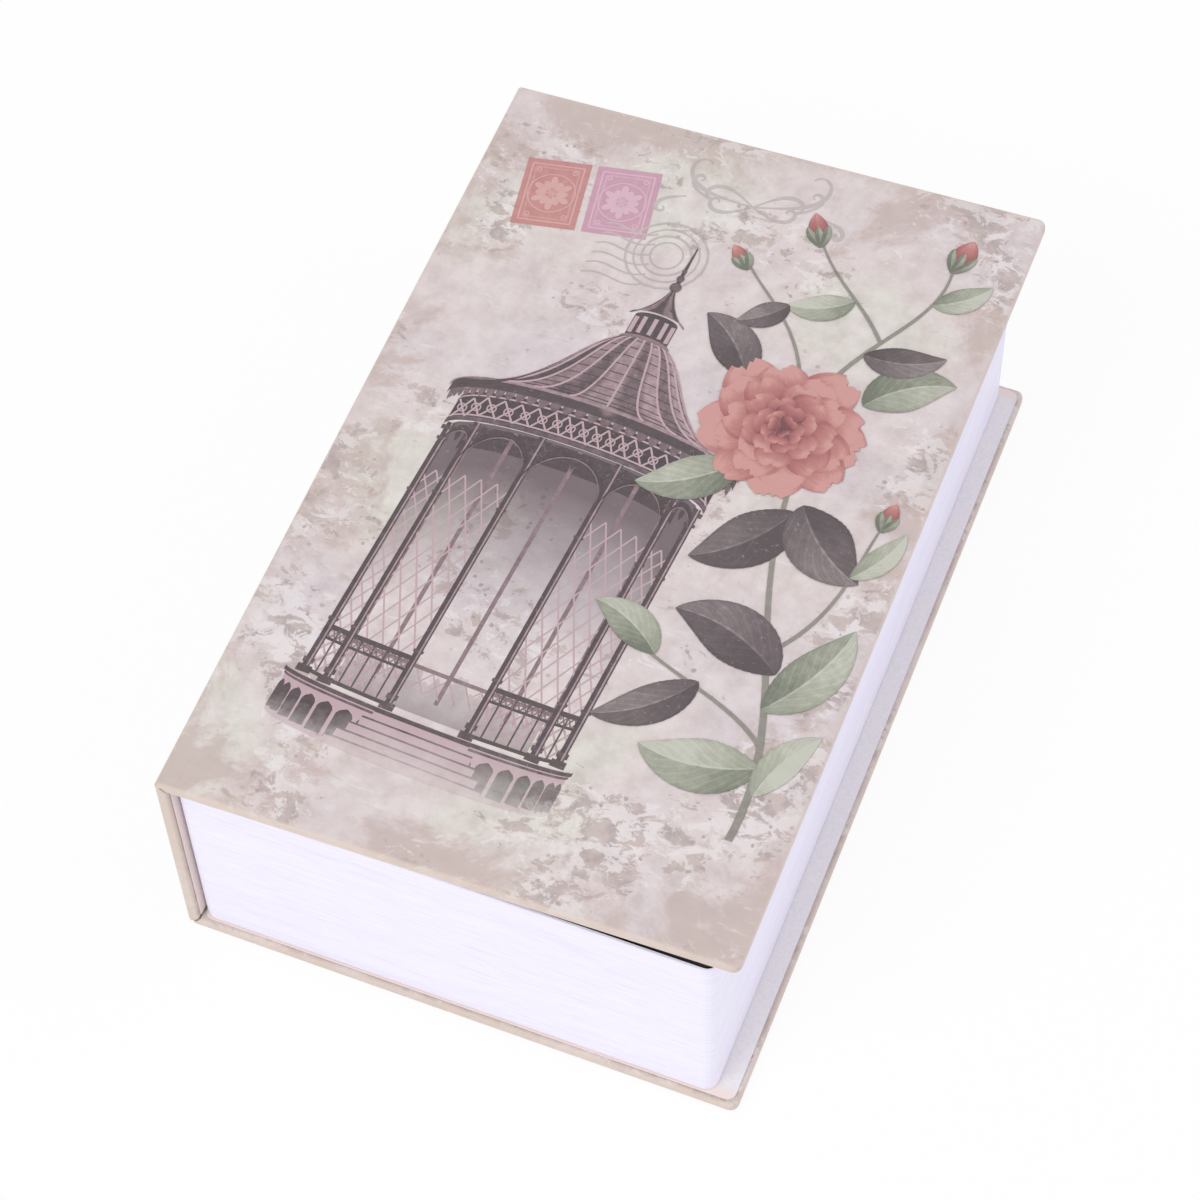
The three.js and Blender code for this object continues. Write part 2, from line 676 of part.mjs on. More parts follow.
// Detent spring: a comb with one finger for each wheel, folded to a tip that drops in the wheel's grooves
function detentSpring() {
  const x = neck.x1 - caseWall - seatGap - springThickness / 2;
  const z0 = caseBottom + caseWall + seatGap;
  const y0 = neck.y0 + caseWall + seatGap;
  const y1 = neck.y1 - caseWall - seatGap;
  const strap = block(x - springThickness / 2, x + springThickness / 2, y0, y1, z0, z0 + springStrapHeight);
  const path = [
    [x, z0],
    [x, wheelZ - springTipHeight],
    [x - springTipReach, wheelZ],
    [x, wheelZ + springTipHeight],
  ];
  const half = wheelWidth * springFingerShare / 2;
  return wheelYs.reduce(
    (solid, y) => solid.add(bentStrip(path, springThickness, springBend, y - half, y + half)),
    strap,
  );
}

// Slider button with grip ridges, and its post down through the bezel and the lid
function sliderButton() {
  const seat = recessFloor + seatGap;
  const top = bezelTop + buttonProud;
  const plan = {
    x0: lockX - buttonWidth / 2, x1: lockX + buttonWidth / 2,
    y0: buttonY - buttonLength / 2, y1: buttonY + buttonLength / 2,
  };
  const post = block(
    lockX - postWidth / 2, lockX + postWidth / 2,
    buttonY - postLength / 2, buttonY + postLength / 2,
    hookTop + seatGap, seat + ridgeDepth,
  );
  const pitch = buttonLength / (buttonRidges + 1);
  const grooves = Array.from({ length: buttonRidges }, (_, i) => plan.y0 + (i + 1) * pitch);
  const x0 = plan.x0 - overrun;
  const x1 = plan.x1 + overrun;
  const half = ridgeWidth / 2;
  const head = grooves.reduce(
    (solid, y) => solid.subtract(block(x0, x1, y - half, y + half, top - ridgeDepth, top + overrun)),
    slab(plan, seat, top, boardEdgeRadius, ridgeDepth),
  );
  return head.add(post).subtract(
    barZ(latchRivetRadius + glueGap, lockX, buttonY, hookTop - overrun, seat - seatGap),
  );
}

// Latch hook: a strip under the lid, folded down at the fore-edge side, its foot turned under the keeper
function latchHook() {
  const half = hookThickness / 2;
  const legX = hookLegX1 - half;
  const footZ = keeperTop - keeperThickness - hookPlayUnderLip - half;
  const path = [
    [lockX - hookBack, hookTop - half],
    [legX, hookTop - half],
    [legX, footZ],
    [legX - half + hookFootLength, footZ],
  ];
  const z0 = hookTop - hookThickness - overrun;
  return bentStrip(path, hookThickness, hookBend, buttonY - hookWidth / 2, buttonY + hookWidth / 2)
    .subtract(barZ(latchRivetRadius + glueGap, lockX, buttonY, z0, hookTop + overrun));
}

function latchRivet() {
  const foot = hookTop - hookThickness - seatGap;
  return studUp(lockX, buttonY, foot, postWidth / 2, latchRivetRadius, latchRivetRadius,
    recessFloor - glueGap - foot);
}

// Guide: a strip folded to a step under the lid, whose lip carries the hook's inner edge
function latchGuide() {
  const half = guideThickness / 2;
  const x1 = lockX - hookBack - slideGap;
  const y0 = buttonY - hookWidth / 2 - slideGap;
  const footZ = lidUnder - seatGap - half;
  const lipZ = hookTop - hookThickness - seatGap - half;
  const path = [
    [x1 - guideThickness - guideFoot, footZ],
    [x1 - half, footZ],
    [x1 - half, lipZ],
    [x1 + guideLip, lipZ],
  ];
  return bentStrip(path, guideThickness, guideBend, y0, y0 + hookWidth + latchTravel + 2 * slideGap);
}

// Pieces, their colours and the bodies that carry them
function material(color, roughness, metalness) {
  return new THREE.MeshStandardMaterial({ color, roughness, metalness, flatShading: true });
}

const printedPaper = material(0xd9cbc4, 0.6, 0);
const linerPaper = material(0xdcd8d4, 0.8, 0);
const whitePlastic = material(0xf4f2fa, 0.5, 0);
const blackSteel = material(0x1c1c1e, 0.45, 0.6);
const zincSteel = material(0xb4b6b8, 0.35, 0.9);
const blackPlastic = material(0x17171a, 0.4, 0);
const wheelPlastic = material(0x222226, 0.35, 0);
const matFoam = material(0x2c2b2e, 0.95, 0);

function place(group, name, solid, finish) {
  const { numProp, vertProperties, triVerts } = solid.getMesh();
  const geometry = new THREE.BufferGeometry();
  geometry.setAttribute('position', new THREE.BufferAttribute(vertProperties, numProp));
  geometry.setIndex(new THREE.BufferAttribute(triVerts, 1));
  const mesh = new THREE.Mesh(geometry, finish);
  mesh.name = name;
  group.add(mesh);
}

function base() {
  const group = new THREE.Group();
  place(group, 'back_board', backBoard(), printedPaper);
  place(group, 'back_endpaper', backEndpaper(), linerPaper);
  place(group, 'page_block', pageFrame(), whitePlastic);
  place(group, 'tray', tray(), blackSteel);
  place(group, 'tray_mat', trayMat(), matFoam);
  place(group, 'hinge_leaf', hingeLeaf(), blackSteel);
  place(group, 'hinge_pin', hingePin(), zincSteel);
  place(group, 'keeper', keeper(), zincSteel);
  keeperRivetPlaces().forEach((spot, i) => {
    place(group, `keeper_rivet_${i + 1}`, keeperRivet(spot), zincSteel);
  });
  return group;
}

function spine() {
  const group = new THREE.Group();
  place(group, 'spine_board', spineBoard(), printedPaper);
  place(group, 'spine_lining', spineLining(), linerPaper);
  return group;
}

function frontCover() {
  const group = new THREE.Group();
  place(group, 'front_board', frontBoard(), printedPaper);
  place(group, 'front_endpaper', frontEndpaper(), linerPaper);
  group.position.set(topPivot.x, 0, topPivot.z);
  group.rotation.y = -coverAjar;
  return group;
}

function lid() {
  const group = new THREE.Group();
  place(group, 'lid_plate', lidPlate(), blackSteel);
  place(group, 'lock_bezel', lockBezel(), blackPlastic);
  place(group, 'lock_case', lockCase(), blackPlastic);
  place(group, 'wheel_shaft', wheelShaft(), zincSteel);
  place(group, 'detent_spring', detentSpring(), zincSteel);
  place(group, 'latch_guide', latchGuide(), zincSteel);
  lockScrewPlaces().forEach((spot, i) => {
    place(group, `lock_screw_${i + 1}`, lockScrew(spot), zincSteel);
  });
  wheelYs.forEach((y, i) => {
    place(group, `number_wheel_${i + 1}`, numberWheel(y), wheelPlastic);
  });
  return group;
}

function latch() {
  const group = new THREE.Group();
  place(group, 'slider_button', sliderButton(), blackPlastic);
  place(group, 'latch_hook', latchHook(), zincSteel);
  place(group, 'latch_rivet', latchRivet(), zincSteel);
  return group;
}

const book = new THREE.Group();
book.add(base(), spine(), frontCover(), lid(), latch());

export default book;
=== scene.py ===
import itertools
import json
import random
from functools import partial
from math import atan2, cos, pi, radians, sin, sqrt

import bpy
from mathutils import Matrix, Vector


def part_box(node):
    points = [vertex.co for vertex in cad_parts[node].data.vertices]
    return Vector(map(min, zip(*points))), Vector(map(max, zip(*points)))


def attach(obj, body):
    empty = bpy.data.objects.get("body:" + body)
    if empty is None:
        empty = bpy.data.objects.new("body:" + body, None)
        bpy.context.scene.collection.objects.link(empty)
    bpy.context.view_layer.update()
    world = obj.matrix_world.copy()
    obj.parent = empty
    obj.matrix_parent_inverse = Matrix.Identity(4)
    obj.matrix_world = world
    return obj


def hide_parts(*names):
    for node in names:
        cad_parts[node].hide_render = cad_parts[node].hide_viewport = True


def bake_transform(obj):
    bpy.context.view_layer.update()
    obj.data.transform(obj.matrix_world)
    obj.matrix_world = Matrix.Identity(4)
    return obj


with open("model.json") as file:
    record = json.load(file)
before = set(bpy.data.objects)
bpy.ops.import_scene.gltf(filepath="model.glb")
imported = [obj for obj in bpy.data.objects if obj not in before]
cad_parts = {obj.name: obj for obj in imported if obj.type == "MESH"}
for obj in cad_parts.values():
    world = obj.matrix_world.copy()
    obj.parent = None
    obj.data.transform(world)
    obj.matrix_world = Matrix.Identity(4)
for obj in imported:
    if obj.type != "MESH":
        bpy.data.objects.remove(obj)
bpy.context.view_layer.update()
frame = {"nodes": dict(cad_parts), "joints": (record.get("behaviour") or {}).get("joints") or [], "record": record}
nodes = frame["nodes"]
mm = 0.001


def toLinear(code):   # sRGB hex to the linear colour that a shader wants
    parts = [int(code[i:i + 2], 16) / 255 for i in (1, 3, 5)]
    return [c / 12.92 if c <= 0.04045 else ((c + 0.055) / 1.055) ** 2.4 for c in parts] + [1]


def per(size):   # texture scale for a pattern whose features are this many millimetres apart
    return 1 / (size * mm)


def plug(tree, socket, value):   # a constant, a hex colour, an output, or a node for its output
    if isinstance(value, str):
        value = toLinear(value)
    if isinstance(value, bpy.types.Node):
        value = next(output for output in value.outputs if output.enabled)
    if isinstance(value, bpy.types.NodeSocket):
        tree.links.new(value, socket)
    else:
        socket.default_value = value


def add(tree, kind, *inputs, **settings):   # inputs in socket order; settings, others by name
    kind, *operation = kind.split()
    made = tree.nodes.new("ShaderNode" + kind)
    for key, value in [*settings.items(), *zip(["operation"], operation)]:
        if key == "stops":
            ramp = made.color_ramp
            while len(ramp.elements) < len(value):
                ramp.elements.new(0.5)
            for stop, (position, code) in zip(ramp.elements, value.items()):
                stop.position = position
                stop.color = toLinear(code)
        elif hasattr(made, key):
            setattr(made, key, value)
        else:
            plug(tree, made.inputs[key], value)
    for socket, value in zip([socket for socket in made.inputs if socket.enabled], inputs):
        plug(tree, socket, value)
    return made


def layer(node, under, tint, measure, low, high, most=1):   # a tint laid over, none at low, most at high
    share = node("MapRange", measure, low, high, 0, most)
    return node("Mix", share, under, tint, data_type="RGBA")


# draw(node, place) gives colour, height, the bump's strength and depth in mm, and perhaps the roughness
def material(name, draw, constants):
    mat = bpy.data.materials.new(name)
    mat.use_nodes = True
    tree = mat.node_tree
    node = partial(add, tree)
    colour, height, strength, depth, *rough = draw(node, node("TexCoord").outputs["Object"])
    bump = node("Bump", Strength=strength, Distance=depth * mm, Height=height)
    links = {"Base Color": colour, "Normal": bump, **dict(zip(["Roughness"], rough))}
    for key, value in {**constants, **links}.items():
        plug(tree, tree.nodes["Principled BSDF"].inputs[key], value)
    return mat


def assign(mat, piece):
    piece.data.materials.clear()
    piece.data.materials.append(mat)
    return piece


# Printed paper: a pale plaster-like ground with worn tan patches
paper = {
    "cloud": {"Scale": per(45), "Detail": 4, "Roughness": 0.55},
    "mottle": {"Scale": per(5), "Detail": 9, "Roughness": 0.68},
    "stain": {"Scale": per(26), "Detail": 9, "Roughness": 0.68, "Distortion": 0.4},
    "clump": {"Scale": per(30), "Detail": 3},
    "flake": {"Scale": per(5), "Detail": 10, "Roughness": 0.7, "Distortion": 0.5},
    "flakePlace": {"Scale": (1, 1.4, 1.2), "Location": (0.71, 0.2, 0.4)},
    "stroke": {"Scale": per(10), "Detail": 8, "Roughness": 0.7, "Distortion": 0.3},
    "strokePlace": {"Scale": (1, 4.2, 1), "Location": (0.3, 0, 0)},
    "grain": {"Scale": per(0.35), "Detail": 3}, "film": {"Roughness": 0.52, "IOR": 1.46},
    "cloudStops": {0.34: "#dfd6d6", 0.44: "#e4dad7", 0.53: "#e5dbd6", 0.62: "#e3e0d5", 0.74: "#e9e2dc"},
    "mottleStops": {0.33: "#e5dfdf", 0.48: "#f4f1f0", 0.62: "#ffffff"},
    "flakeStops": {0.38: "#ab9e9c", 0.47: "#b9aba5", 0.56: "#c8b8ae", 0.66: "#c2b4ae"},
    "dotSpacing": 1.8, "dotBend": 0.0016, "rimHighlightWidth": 0.6,
    "boardSpans": ((2.6 * mm, 6 * mm, 1, 0), (52 * mm, 55 * mm, 0, 1)),   # two heights and the shares there
}


def edgeNearness(node, place):   # 1 at the boards' edges and the spine's head and tail
    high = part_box("back_board")[1]
    x, y, z = node("SeparateXYZ", place).outputs
    shareX = node("Math DIVIDE", node("Math ABSOLUTE", x), high.x)
    shareY = node("Math DIVIDE", node("Math ABSOLUTE", y), high.y)
    onBoard = node("Math MAXIMUM", *(node("MapRange", z, *span) for span in paper["boardSpans"]))
    return node("Math MAXIMUM", node("Math MULTIPLY", shareX, onBoard), shareY)


def agedPaperGroup():   # the colour at a place, which prints can fade into
    group = bpy.data.node_groups.new("agedPaper", "ShaderNodeTree")
    group.interface.new_socket("Place", in_out="INPUT", socket_type="NodeSocketVector")
    group.interface.new_socket("Color", in_out="OUTPUT", socket_type="NodeSocketColor")
    node = partial(add, group)
    place = group.nodes.new("NodeGroupInput").outputs[0]
    nearEdge = edgeNearness(node, place)

    # broad tints and a soft mottle
    base = node("ValToRGB", node("TexNoise", place, **paper["cloud"]), stops=paper["cloudStops"])
    mottle = node("TexNoise", place, **paper["mottle"])
    mottleTone = node("ValToRGB", mottle, stops=paper["mottleStops"])
    look = node("Mix", 0.8, base, mottleTone, data_type="RGBA", blend_type="MULTIPLY")

    # soft tan stains that gather at the edges
    stainLift = node("MapRange", nearEdge, 0.62, 1, -0.125, 0.045)
    stain = node("Math ADD", node("TexNoise", place, **paper["stain"]), stainLift)
    look = layer(node, look, "#c4b1a8", stain, 0.49, 0.565, 0.68)

    # flaked plaster: ragged grey and tan scraps beside pale ones
    clump = node("TexNoise", place, **paper["clump"])
    flake = node("TexNoise", node("Mapping", place, **paper["flakePlace"]), **paper["flake"])
    flakeLift = node("MapRange", nearEdge, 0.55, 1, -0.058, 0.05)
    bias = node("Math ADD", flakeLift, node("MapRange", clump, 0.38, 0.62, -0.15, 0.09))
    flakeTone = node("ValToRGB", mottle, stops=paper["flakeStops"])
    look = layer(node, look, flakeTone, node("Math ADD", flake, bias), 0.572, 0.592, 0.78)
    look = layer(node, look, "#efebe9", node("Math SUBTRACT", bias, flake), -0.415, -0.395, 0.5)

    # dry brush strokes across the cover, pale and grey
    stroke = node("TexNoise", node("Mapping", place, **paper["strokePlace"]), **paper["stroke"])
    look = layer(node, look, "#ece8e6", stroke, 0.60, 0.66, 0.42)
    look = layer(node, look, "#bcb1b1", stroke, 0.37, 0.34, 0.36)

    # scattered specks in clumps
    bent = node("Mix", paper["dotBend"], place, flake.outputs["Color"], data_type="VECTOR")
    cell = node("TexVoronoi", bent, Scale=per(paper["dotSpacing"])).outputs
    dotSize = node("MapRange", node("SeparateXYZ", cell["Color"]), 0.60, 1, 0, 0.36)
    dotShare = node("MapRange", node("Math SUBTRACT", dotSize, cell["Distance"]), 0, 0.10, 0, 0.75)
    dotted = node("Math MULTIPLY", dotShare, node("MapRange", clump, 0.48, 0.56))
    look = node("Mix", dotted, look, "#a59995", data_type="RGBA")

    # warm, handled edges, and a painted highlight along the very rim where the board's edge would catch the light
    look = layer(node, look, "#d2c1b6", nearEdge, 0.93, 1, 0.2)
    # painted highlight: the outermost strip at each edge is lightened as if lit, not worn
    rim = 1 - paper["rimHighlightWidth"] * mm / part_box("back_board")[1].x
    look = layer(node, look, "#decebf", nearEdge, rim, 1, 0.74)
    plug(group, group.nodes.new("NodeGroupOutput").inputs[0], look)
    return group


paperGroup = agedPaperGroup()


def printedPaper(node, place, over=lambda under: under):   # over: what lies on the paper
    under = node("Group", place, node_tree=paperGroup)
    return over(under), node("TexNoise", place, **paper["grain"]), 0.12, 0.05


def uncoatedPaper(node, place):   # soft fibres, faint cockling, warmer at head and tail
    fibre = node("TexNoise", place, Scale=per(0.6), Detail=6, Roughness=0.7)
    tone = node("ValToRGB", fibre, stops={0.3: "#e6e3e1", 0.55: "#eeebea", 0.75: "#f4f2ef"})
    fromMiddle = node("Math ABSOLUTE", node("SeparateXYZ", place).outputs["Y"])
    paled = layer(node, tone, "#f2e2da", fromMiddle, 86 * mm, 88 * mm)
    cockle = node("TexNoise", place, Scale=per(22), Detail=2)
    return paled, node("Math MULTIPLY_ADD", fibre, 0.15, cockle), 0.25, 0.3


def pageLines(node, place):   # drawn a little coarser than real leaves
    level = node("Mapping", place, Scale=(0.05, 0.05, 1))
    leaves = node("TexNoise", level, Scale=per(0.5), Detail=2, Roughness=0.7)
    gathered = node("TexNoise", level, Scale=per(4), Detail=2)
    height = node("Math MULTIPLY_ADD", gathered, 0.4, leaves)
    tone = node("ValToRGB", height, stops={0.42: "#e9e5f8", 0.62: "#f3f0ff", 0.9: "#f8f6ff"})
    return tone, height, 0.16, 0.12


def orangePeel(node, place):
    peel = node("TexNoise", place, Scale=per(0.9), Detail=2)
    dust = node("TexNoise", place, Scale=per(9), Detail=5, Roughness=0.7)
    tone = node("ValToRGB", dust, stops={0.35: "#1b1b1d", 0.6: "#232326", 0.8: "#2c2c2f"})
    return tone, peel, 0.3, 0.06, node("MapRange", dust, 0.3, 0.7, 0.36, 0.5)


def rollingLines(node, place):
    lines = node("TexNoise", node("Mapping", place, Scale=(1, 0.06, 1)), Scale=per(0.3), Detail=4)
    tint = node("TexNoise", place, Scale=per(7), Detail=2)
    tone = node("ValToRGB", tint, stops={0.35: "#b9bcc2", 0.5: "#c4c5c6", 0.7: "#c9c6bb"})
    return tone, lines, 0.15, 0.03, node("MapRange", lines, 0.3, 0.7, 0.27, 0.44)


def grain(strength, depth, stops, **noise):   # one noise gives both the tone and the relief
    def draw(node, place):
        pits = node("TexNoise", place, **noise)
        return node("ValToRGB", pits, stops=stops), pits, strength, depth
    return draw


finishes = {
    "printed_paper": material("mattLaminatedPaper", printedPaper, paper["film"]),
    # pasted-down endpaper
    "liner_paper": material("uncoatedEndpaper", uncoatedPaper, {"Roughness": 0.85, "IOR": 1.4}),
    # white polystyrene moulded with page lines
    "page_plastic": material("mouldedPagePolystyrene", pageLines, {"Roughness": 0.48, "IOR": 1.55}),
    # epoxy-polyester powder on steel: black, satin, fine orange peel
    "black_steel": material("powderCoatedSteel", orangePeel, {"IOR": 1.52}),
    # bright zinc over rolled steel: cool grey, faint blue-yellow passivate
    "zinc_steel": material("zincPlatedSteel", rollingLines, {"Metallic": 1}),
    # ABS from a spark-eroded mould: an even fine grain
    "black_plastic": material(
        "sparkErodedAbs", grain(0.3, 0.05, {0.35: "#141416", 0.7: "#232327"}, Scale=per(0.5), Detail=2),
        {"Roughness": 0.5, "IOR": 1.53}),
    # ABS from a polished mould: glossy, with a slow ripple
    "wheel_plastic": material(
        "polishedAbs", grain(0.3, 0.05, {0.35: "#17171a", 0.7: "#1d1d21"}, Scale=per(2.5), Detail=2),
        {"Roughness": 0.24, "IOR": 1.53}),
    # needle-punched polyester felt: matted short fibres
    "mat_foam": material(
        "needleFelt", grain(0.6, 0.3, {0.3: "#1d1d1f", 0.55: "#2f2e31", 0.75: "#454447"},
                            Scale=per(0.7), Detail=6, Roughness=0.8, Distortion=1.2),
        {"Roughness": 0.95, "IOR": 1.4, "Sheen Weight": 0.35, "Sheen Roughness": 0.5}),
}
for part in frame["record"]["subparts"]:
    assign(finishes[part["material_slot"]], nodes[part["node"]])
print("materials done")


def turnTo(mode):
    bpy.ops.object.mode_set(mode=mode)


def thicken(piece, thickness, reach):   # merges close points, then gives the sheet its wall
    turnTo("EDIT")
    bpy.ops.mesh.select_all(action="SELECT")
    bpy.ops.mesh.remove_doubles(threshold=reach)
    turnTo("OBJECT")
    piece.modifiers.new("wall", "SOLIDIFY").thickness = thickness
    bpy.ops.object.modifier_apply(modifier="wall")


def joined(name, pieces):
    bpy.ops.object.select_all(action="DESELECT")
    for piece in pieces:
        piece.select_set(True)
    bpy.context.view_layer.objects.active = pieces[0]
    bpy.ops.object.join()
    pieces[0].name = name
    return pieces[0]


def jointPlace(name):
    return Vector(next(joint for joint in frame["joints"] if joint["name"] == name)["pos_m"])


def coverTop():   # middle and normal of the printed face
    faces = [face for face in nodes["front_board"].data.polygons if face.normal.z > 0.9]
    top = max(faces, key=lambda face: face.area)
    return top.center.copy(), top.normal.copy()


# Paper folds: the cover paper round each mitre, turned in at head and tail, shaped round the boards as they stand
folds = {"proud": 0.02, "thickness": 0.12, "endRadius": 0.7, "steps": 8, "leg": 3, "smoothAngle": 40,
         "topRadius": 1.2, "topTurnIn": 1.1, "footRadius": 3, "footTurnIn": 0.9, "footTurn": 33,
         "merge": 1e-7}


# points round a fold, each with the way out; degrees from +X to +Z
def arcLine(centre, radius, start, end):
    line = []
    for i in range(folds["steps"] + 1):
        angle = radians(start + (end - start) * i / folds["steps"])
        out = Vector((cos(angle), 0, sin(angle)))
        line.append((centre + out * (radius + folds["proud"] * mm), out))
    return line


# from inside the head, round the board's end, along the book and in at the tail
def endLine(turnIn):
    proud = folds["proud"] * mm
    radius = folds["endRadius"] * mm + proud
    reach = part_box("spine_board")[1].y + proud
    line = [(reach, turnIn * mm)]
    for i in range(folds["steps"] + 1):
        angle = radians(90 * i / folds["steps"])
        line.append((reach - radius * (1 - cos(angle)), radius * (1 - sin(angle))))
    return line + [(-y, depth) for y, depth in reversed(line)]


def foldSheet(name, line, turnIn):
    ends = endLine(turnIn)
    bpy.ops.mesh.primitive_grid_add(x_subdivisions=len(ends) - 1, y_subdivisions=len(line) - 1, size=2)
    sheet = bpy.context.object
    sheet.name = name
    for vert in sheet.data.vertices:
        y, depth = ends[round((vert.co.x + 1) / 2 * (len(ends) - 1))]
        place, out = line[round((vert.co.y + 1) / 2 * (len(line) - 1))]
        vert.co = place - out * depth + Vector((0, y, 0))
    thicken(sheet, folds["thickness"] * mm, folds["merge"])
    bpy.ops.object.shade_smooth_by_angle(angle=radians(folds["smoothAngle"]))
    assign(finishes["printed_paper"], sheet)
    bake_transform(sheet)


def makeFolds():
    pivot = jointPlace("cover_hinge")
    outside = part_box("spine_board")[0].x
    leg = folds["leg"] * mm
    radius = folds["topRadius"] * mm
    centre = Vector((outside + radius, 0, pivot.z + (pivot.x - outside) - radius))
    up = coverTop()[1]
    opened = Matrix.Rotation(atan2(up.x, up.z), 3, "Y")
    spineHalf = arcLine(centre, radius, 180, 135)
    shutHalf = arcLine(centre, radius, 135, 90)
    coverHalf = [(pivot + opened @ (place - pivot), opened @ out) for place, out in shutHalf]
    start, end = spineHalf[0][0], coverHalf[-1][0]
    line = [(start - Vector((0, 0, leg)), spineHalf[0][1])] + spineHalf + coverHalf[1:]
    line.append((end + Vector((0, 1, 0)).cross(up) * leg, up))
    foldSheet("coverFold", line, folds["topTurnIn"])
    radius = folds["footRadius"] * mm
    centre = Vector((outside + radius, 0, radius))
    line = arcLine(centre, radius, 225 + folds["footTurn"], 225) + arcLine(centre, radius, 225, 180)[1:]
    line.append((line[-1][0] + Vector((0, 0, leg)), line[-1][1]))
    start, end = centre - Vector((0, 0, radius)), centre - Vector((radius, 0, 0))
    foldSheet("footFold", line, folds["footTurnIn"])


makeFolds()
print("paper folds done")


# Cover plane: millimetres on the cover, x from the closed book's middle to the fore-edge, y to the head
def coverPlane():
    hinge = jointPlace("cover_hinge")
    centre, up = coverTop()
    across = Vector((0, 1, 0)).cross(up)
    origin = hinge - across * hinge.x + up * (centre - hinge).dot(up)
    turn = Matrix((across, Vector((0, 1, 0)), up)).transposed().to_4x4()
    return Matrix.Translation(origin) @ turn @ Matrix.Scale(mm, 4)


cover = coverPlane()
# printed film, in mm; neighbouring sheets differ in height, so that no two that cross share one
film = {"thickness": 0.03, "firstLevel": 0.045, "levelStep": 0.0064, "sheetStep": 0.0008, "sheets": 8,
        "merge": 0.001}
sheetTurn = itertools.cycle(range(film["sheets"]))


def bezier(points, t):
    row = [Vector(point) for point in points]
    while len(row) > 1:
        row = [a.lerp(b, t) for a, b in zip(row, row[1:])]
    return row[0]


def shape(place, level, tone, columns, rows):   # a grid moved by place(across -1..1, along 0..1)
    bpy.ops.mesh.primitive_grid_add(x_subdivisions=columns, y_subdivisions=rows, size=2)
    piece = bpy.context.object
    height = film["firstLevel"] + level * film["levelStep"] + next(sheetTurn) * film["sheetStep"]
    spots = [(vert.co.x, (vert.co.y + 1) / 2) for vert in piece.data.vertices]
    for vert, (across, along) in zip(piece.data.vertices, spots):
        flat = place(across, along)
        vert.co = (flat[0], flat[1], height)
    tones = piece.data.attributes.new("tone", "FLOAT", "POINT")
    for item, (across, along) in zip(tones.data, spots):
        item.value = tone(across, along) if callable(tone) else tone
    return piece


def blade(line, half, level, tone=0.5, columns=2, rows=12):   # petal, leaf or stroke along a curve
    def place(across, t):
        ahead = bezier(line, min(t + 0.01, 1)) - bezier(line, max(t - 0.01, 0))
        side = Vector((ahead.y, -ahead.x)).normalized()
        return bezier(line, t) + side * across * half(t)
    return shape(place, level, tone, columns, rows)


def bar(start, end, width, level, tone=0.5):
    return blade([start, end], lambda t: width / 2, level, tone, 1, 1)


def hoop(centre, radius, width, level, tone):   # a ring or a disc
    centre = Vector(centre)

    def place(across, t):
        turn = -2 * pi * t
        return centre + Vector((cos(turn), sin(turn))) * (radius + across * width / 2)
    return shape(place, level, tone, 1, 20)


def inked(ink, pieces):
    for piece in pieces:
        yield assign(inks[ink], piece)


def printed(name, pieces, turn=0, centre=(0, 0)):   # one motif, laid on the cover
    motif = joined(name, list(pieces))
    pivot = Matrix.Translation((*centre, 0))
    motif.data.transform(pivot @ Matrix.Rotation(radians(turn), 4, "Z") @ pivot.inverted())
    thicken(motif, film["thickness"], film["merge"])
    motif.data.transform(cover)
    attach(motif, "front_cover")


# four-colour offset print under the matt film, lightly worn; paint(node, place) gives colour and loss
def offsetInk(tint, paint, wear=0.5, wash=0.1):
    def draw(node, place):
        blot = node("TexNoise", place, Scale=per(0.9), Detail=6, Roughness=0.75)
        lost = node("MapRange", blot, 0.60, 0.72, wash, wear)
        ink, gone = paint(node, place)
        if gone is not None:
            lost = node("Math MAXIMUM", lost, gone)
        return printedPaper(node, place, lambda under: node("Mix", lost, ink, under, data_type="RGBA"))
    return material("offsetInk" + tint, draw, paper["film"])


def shapeGrid(node):   # across, along, off its middle line, and its tone
    parts = node("SeparateXYZ", node("TexCoord").outputs["UV"]).outputs
    off = node("Math ABSOLUTE", node("Math SUBTRACT", parts["X"], 0.5))
    return parts["X"], parts["Y"], off, node("Attribute", attribute_name="tone").outputs["Fac"]


def petalInk(node, place):   # dark at the root, soft lengthwise veins
    across, along, off, tone = shapeGrid(node)
    stretched = node("Mapping", node("TexCoord").outputs["UV"], Scale=(9, 1.2, 1))
    vein = node("TexNoise", stretched, Scale=2.2, Detail=4)
    wash = node("TexNoise", place, Scale=per(3), Detail=5, Roughness=0.6)
    light = node("Math ADD", node("MapRange", along, 0.40, 0.92, 0, 0.46), tone)
    for part, share in ((vein, 0.26), (wash, 0.22), (across, -0.10)):
        light = node("Math MULTIPLY_ADD", part, share, light)
    value = node("Math SUBTRACT", light, node("MapRange", off, 0.36, 0.5, 0, 0.14))
    return node("ValToRGB", value, stops=petalStops), None


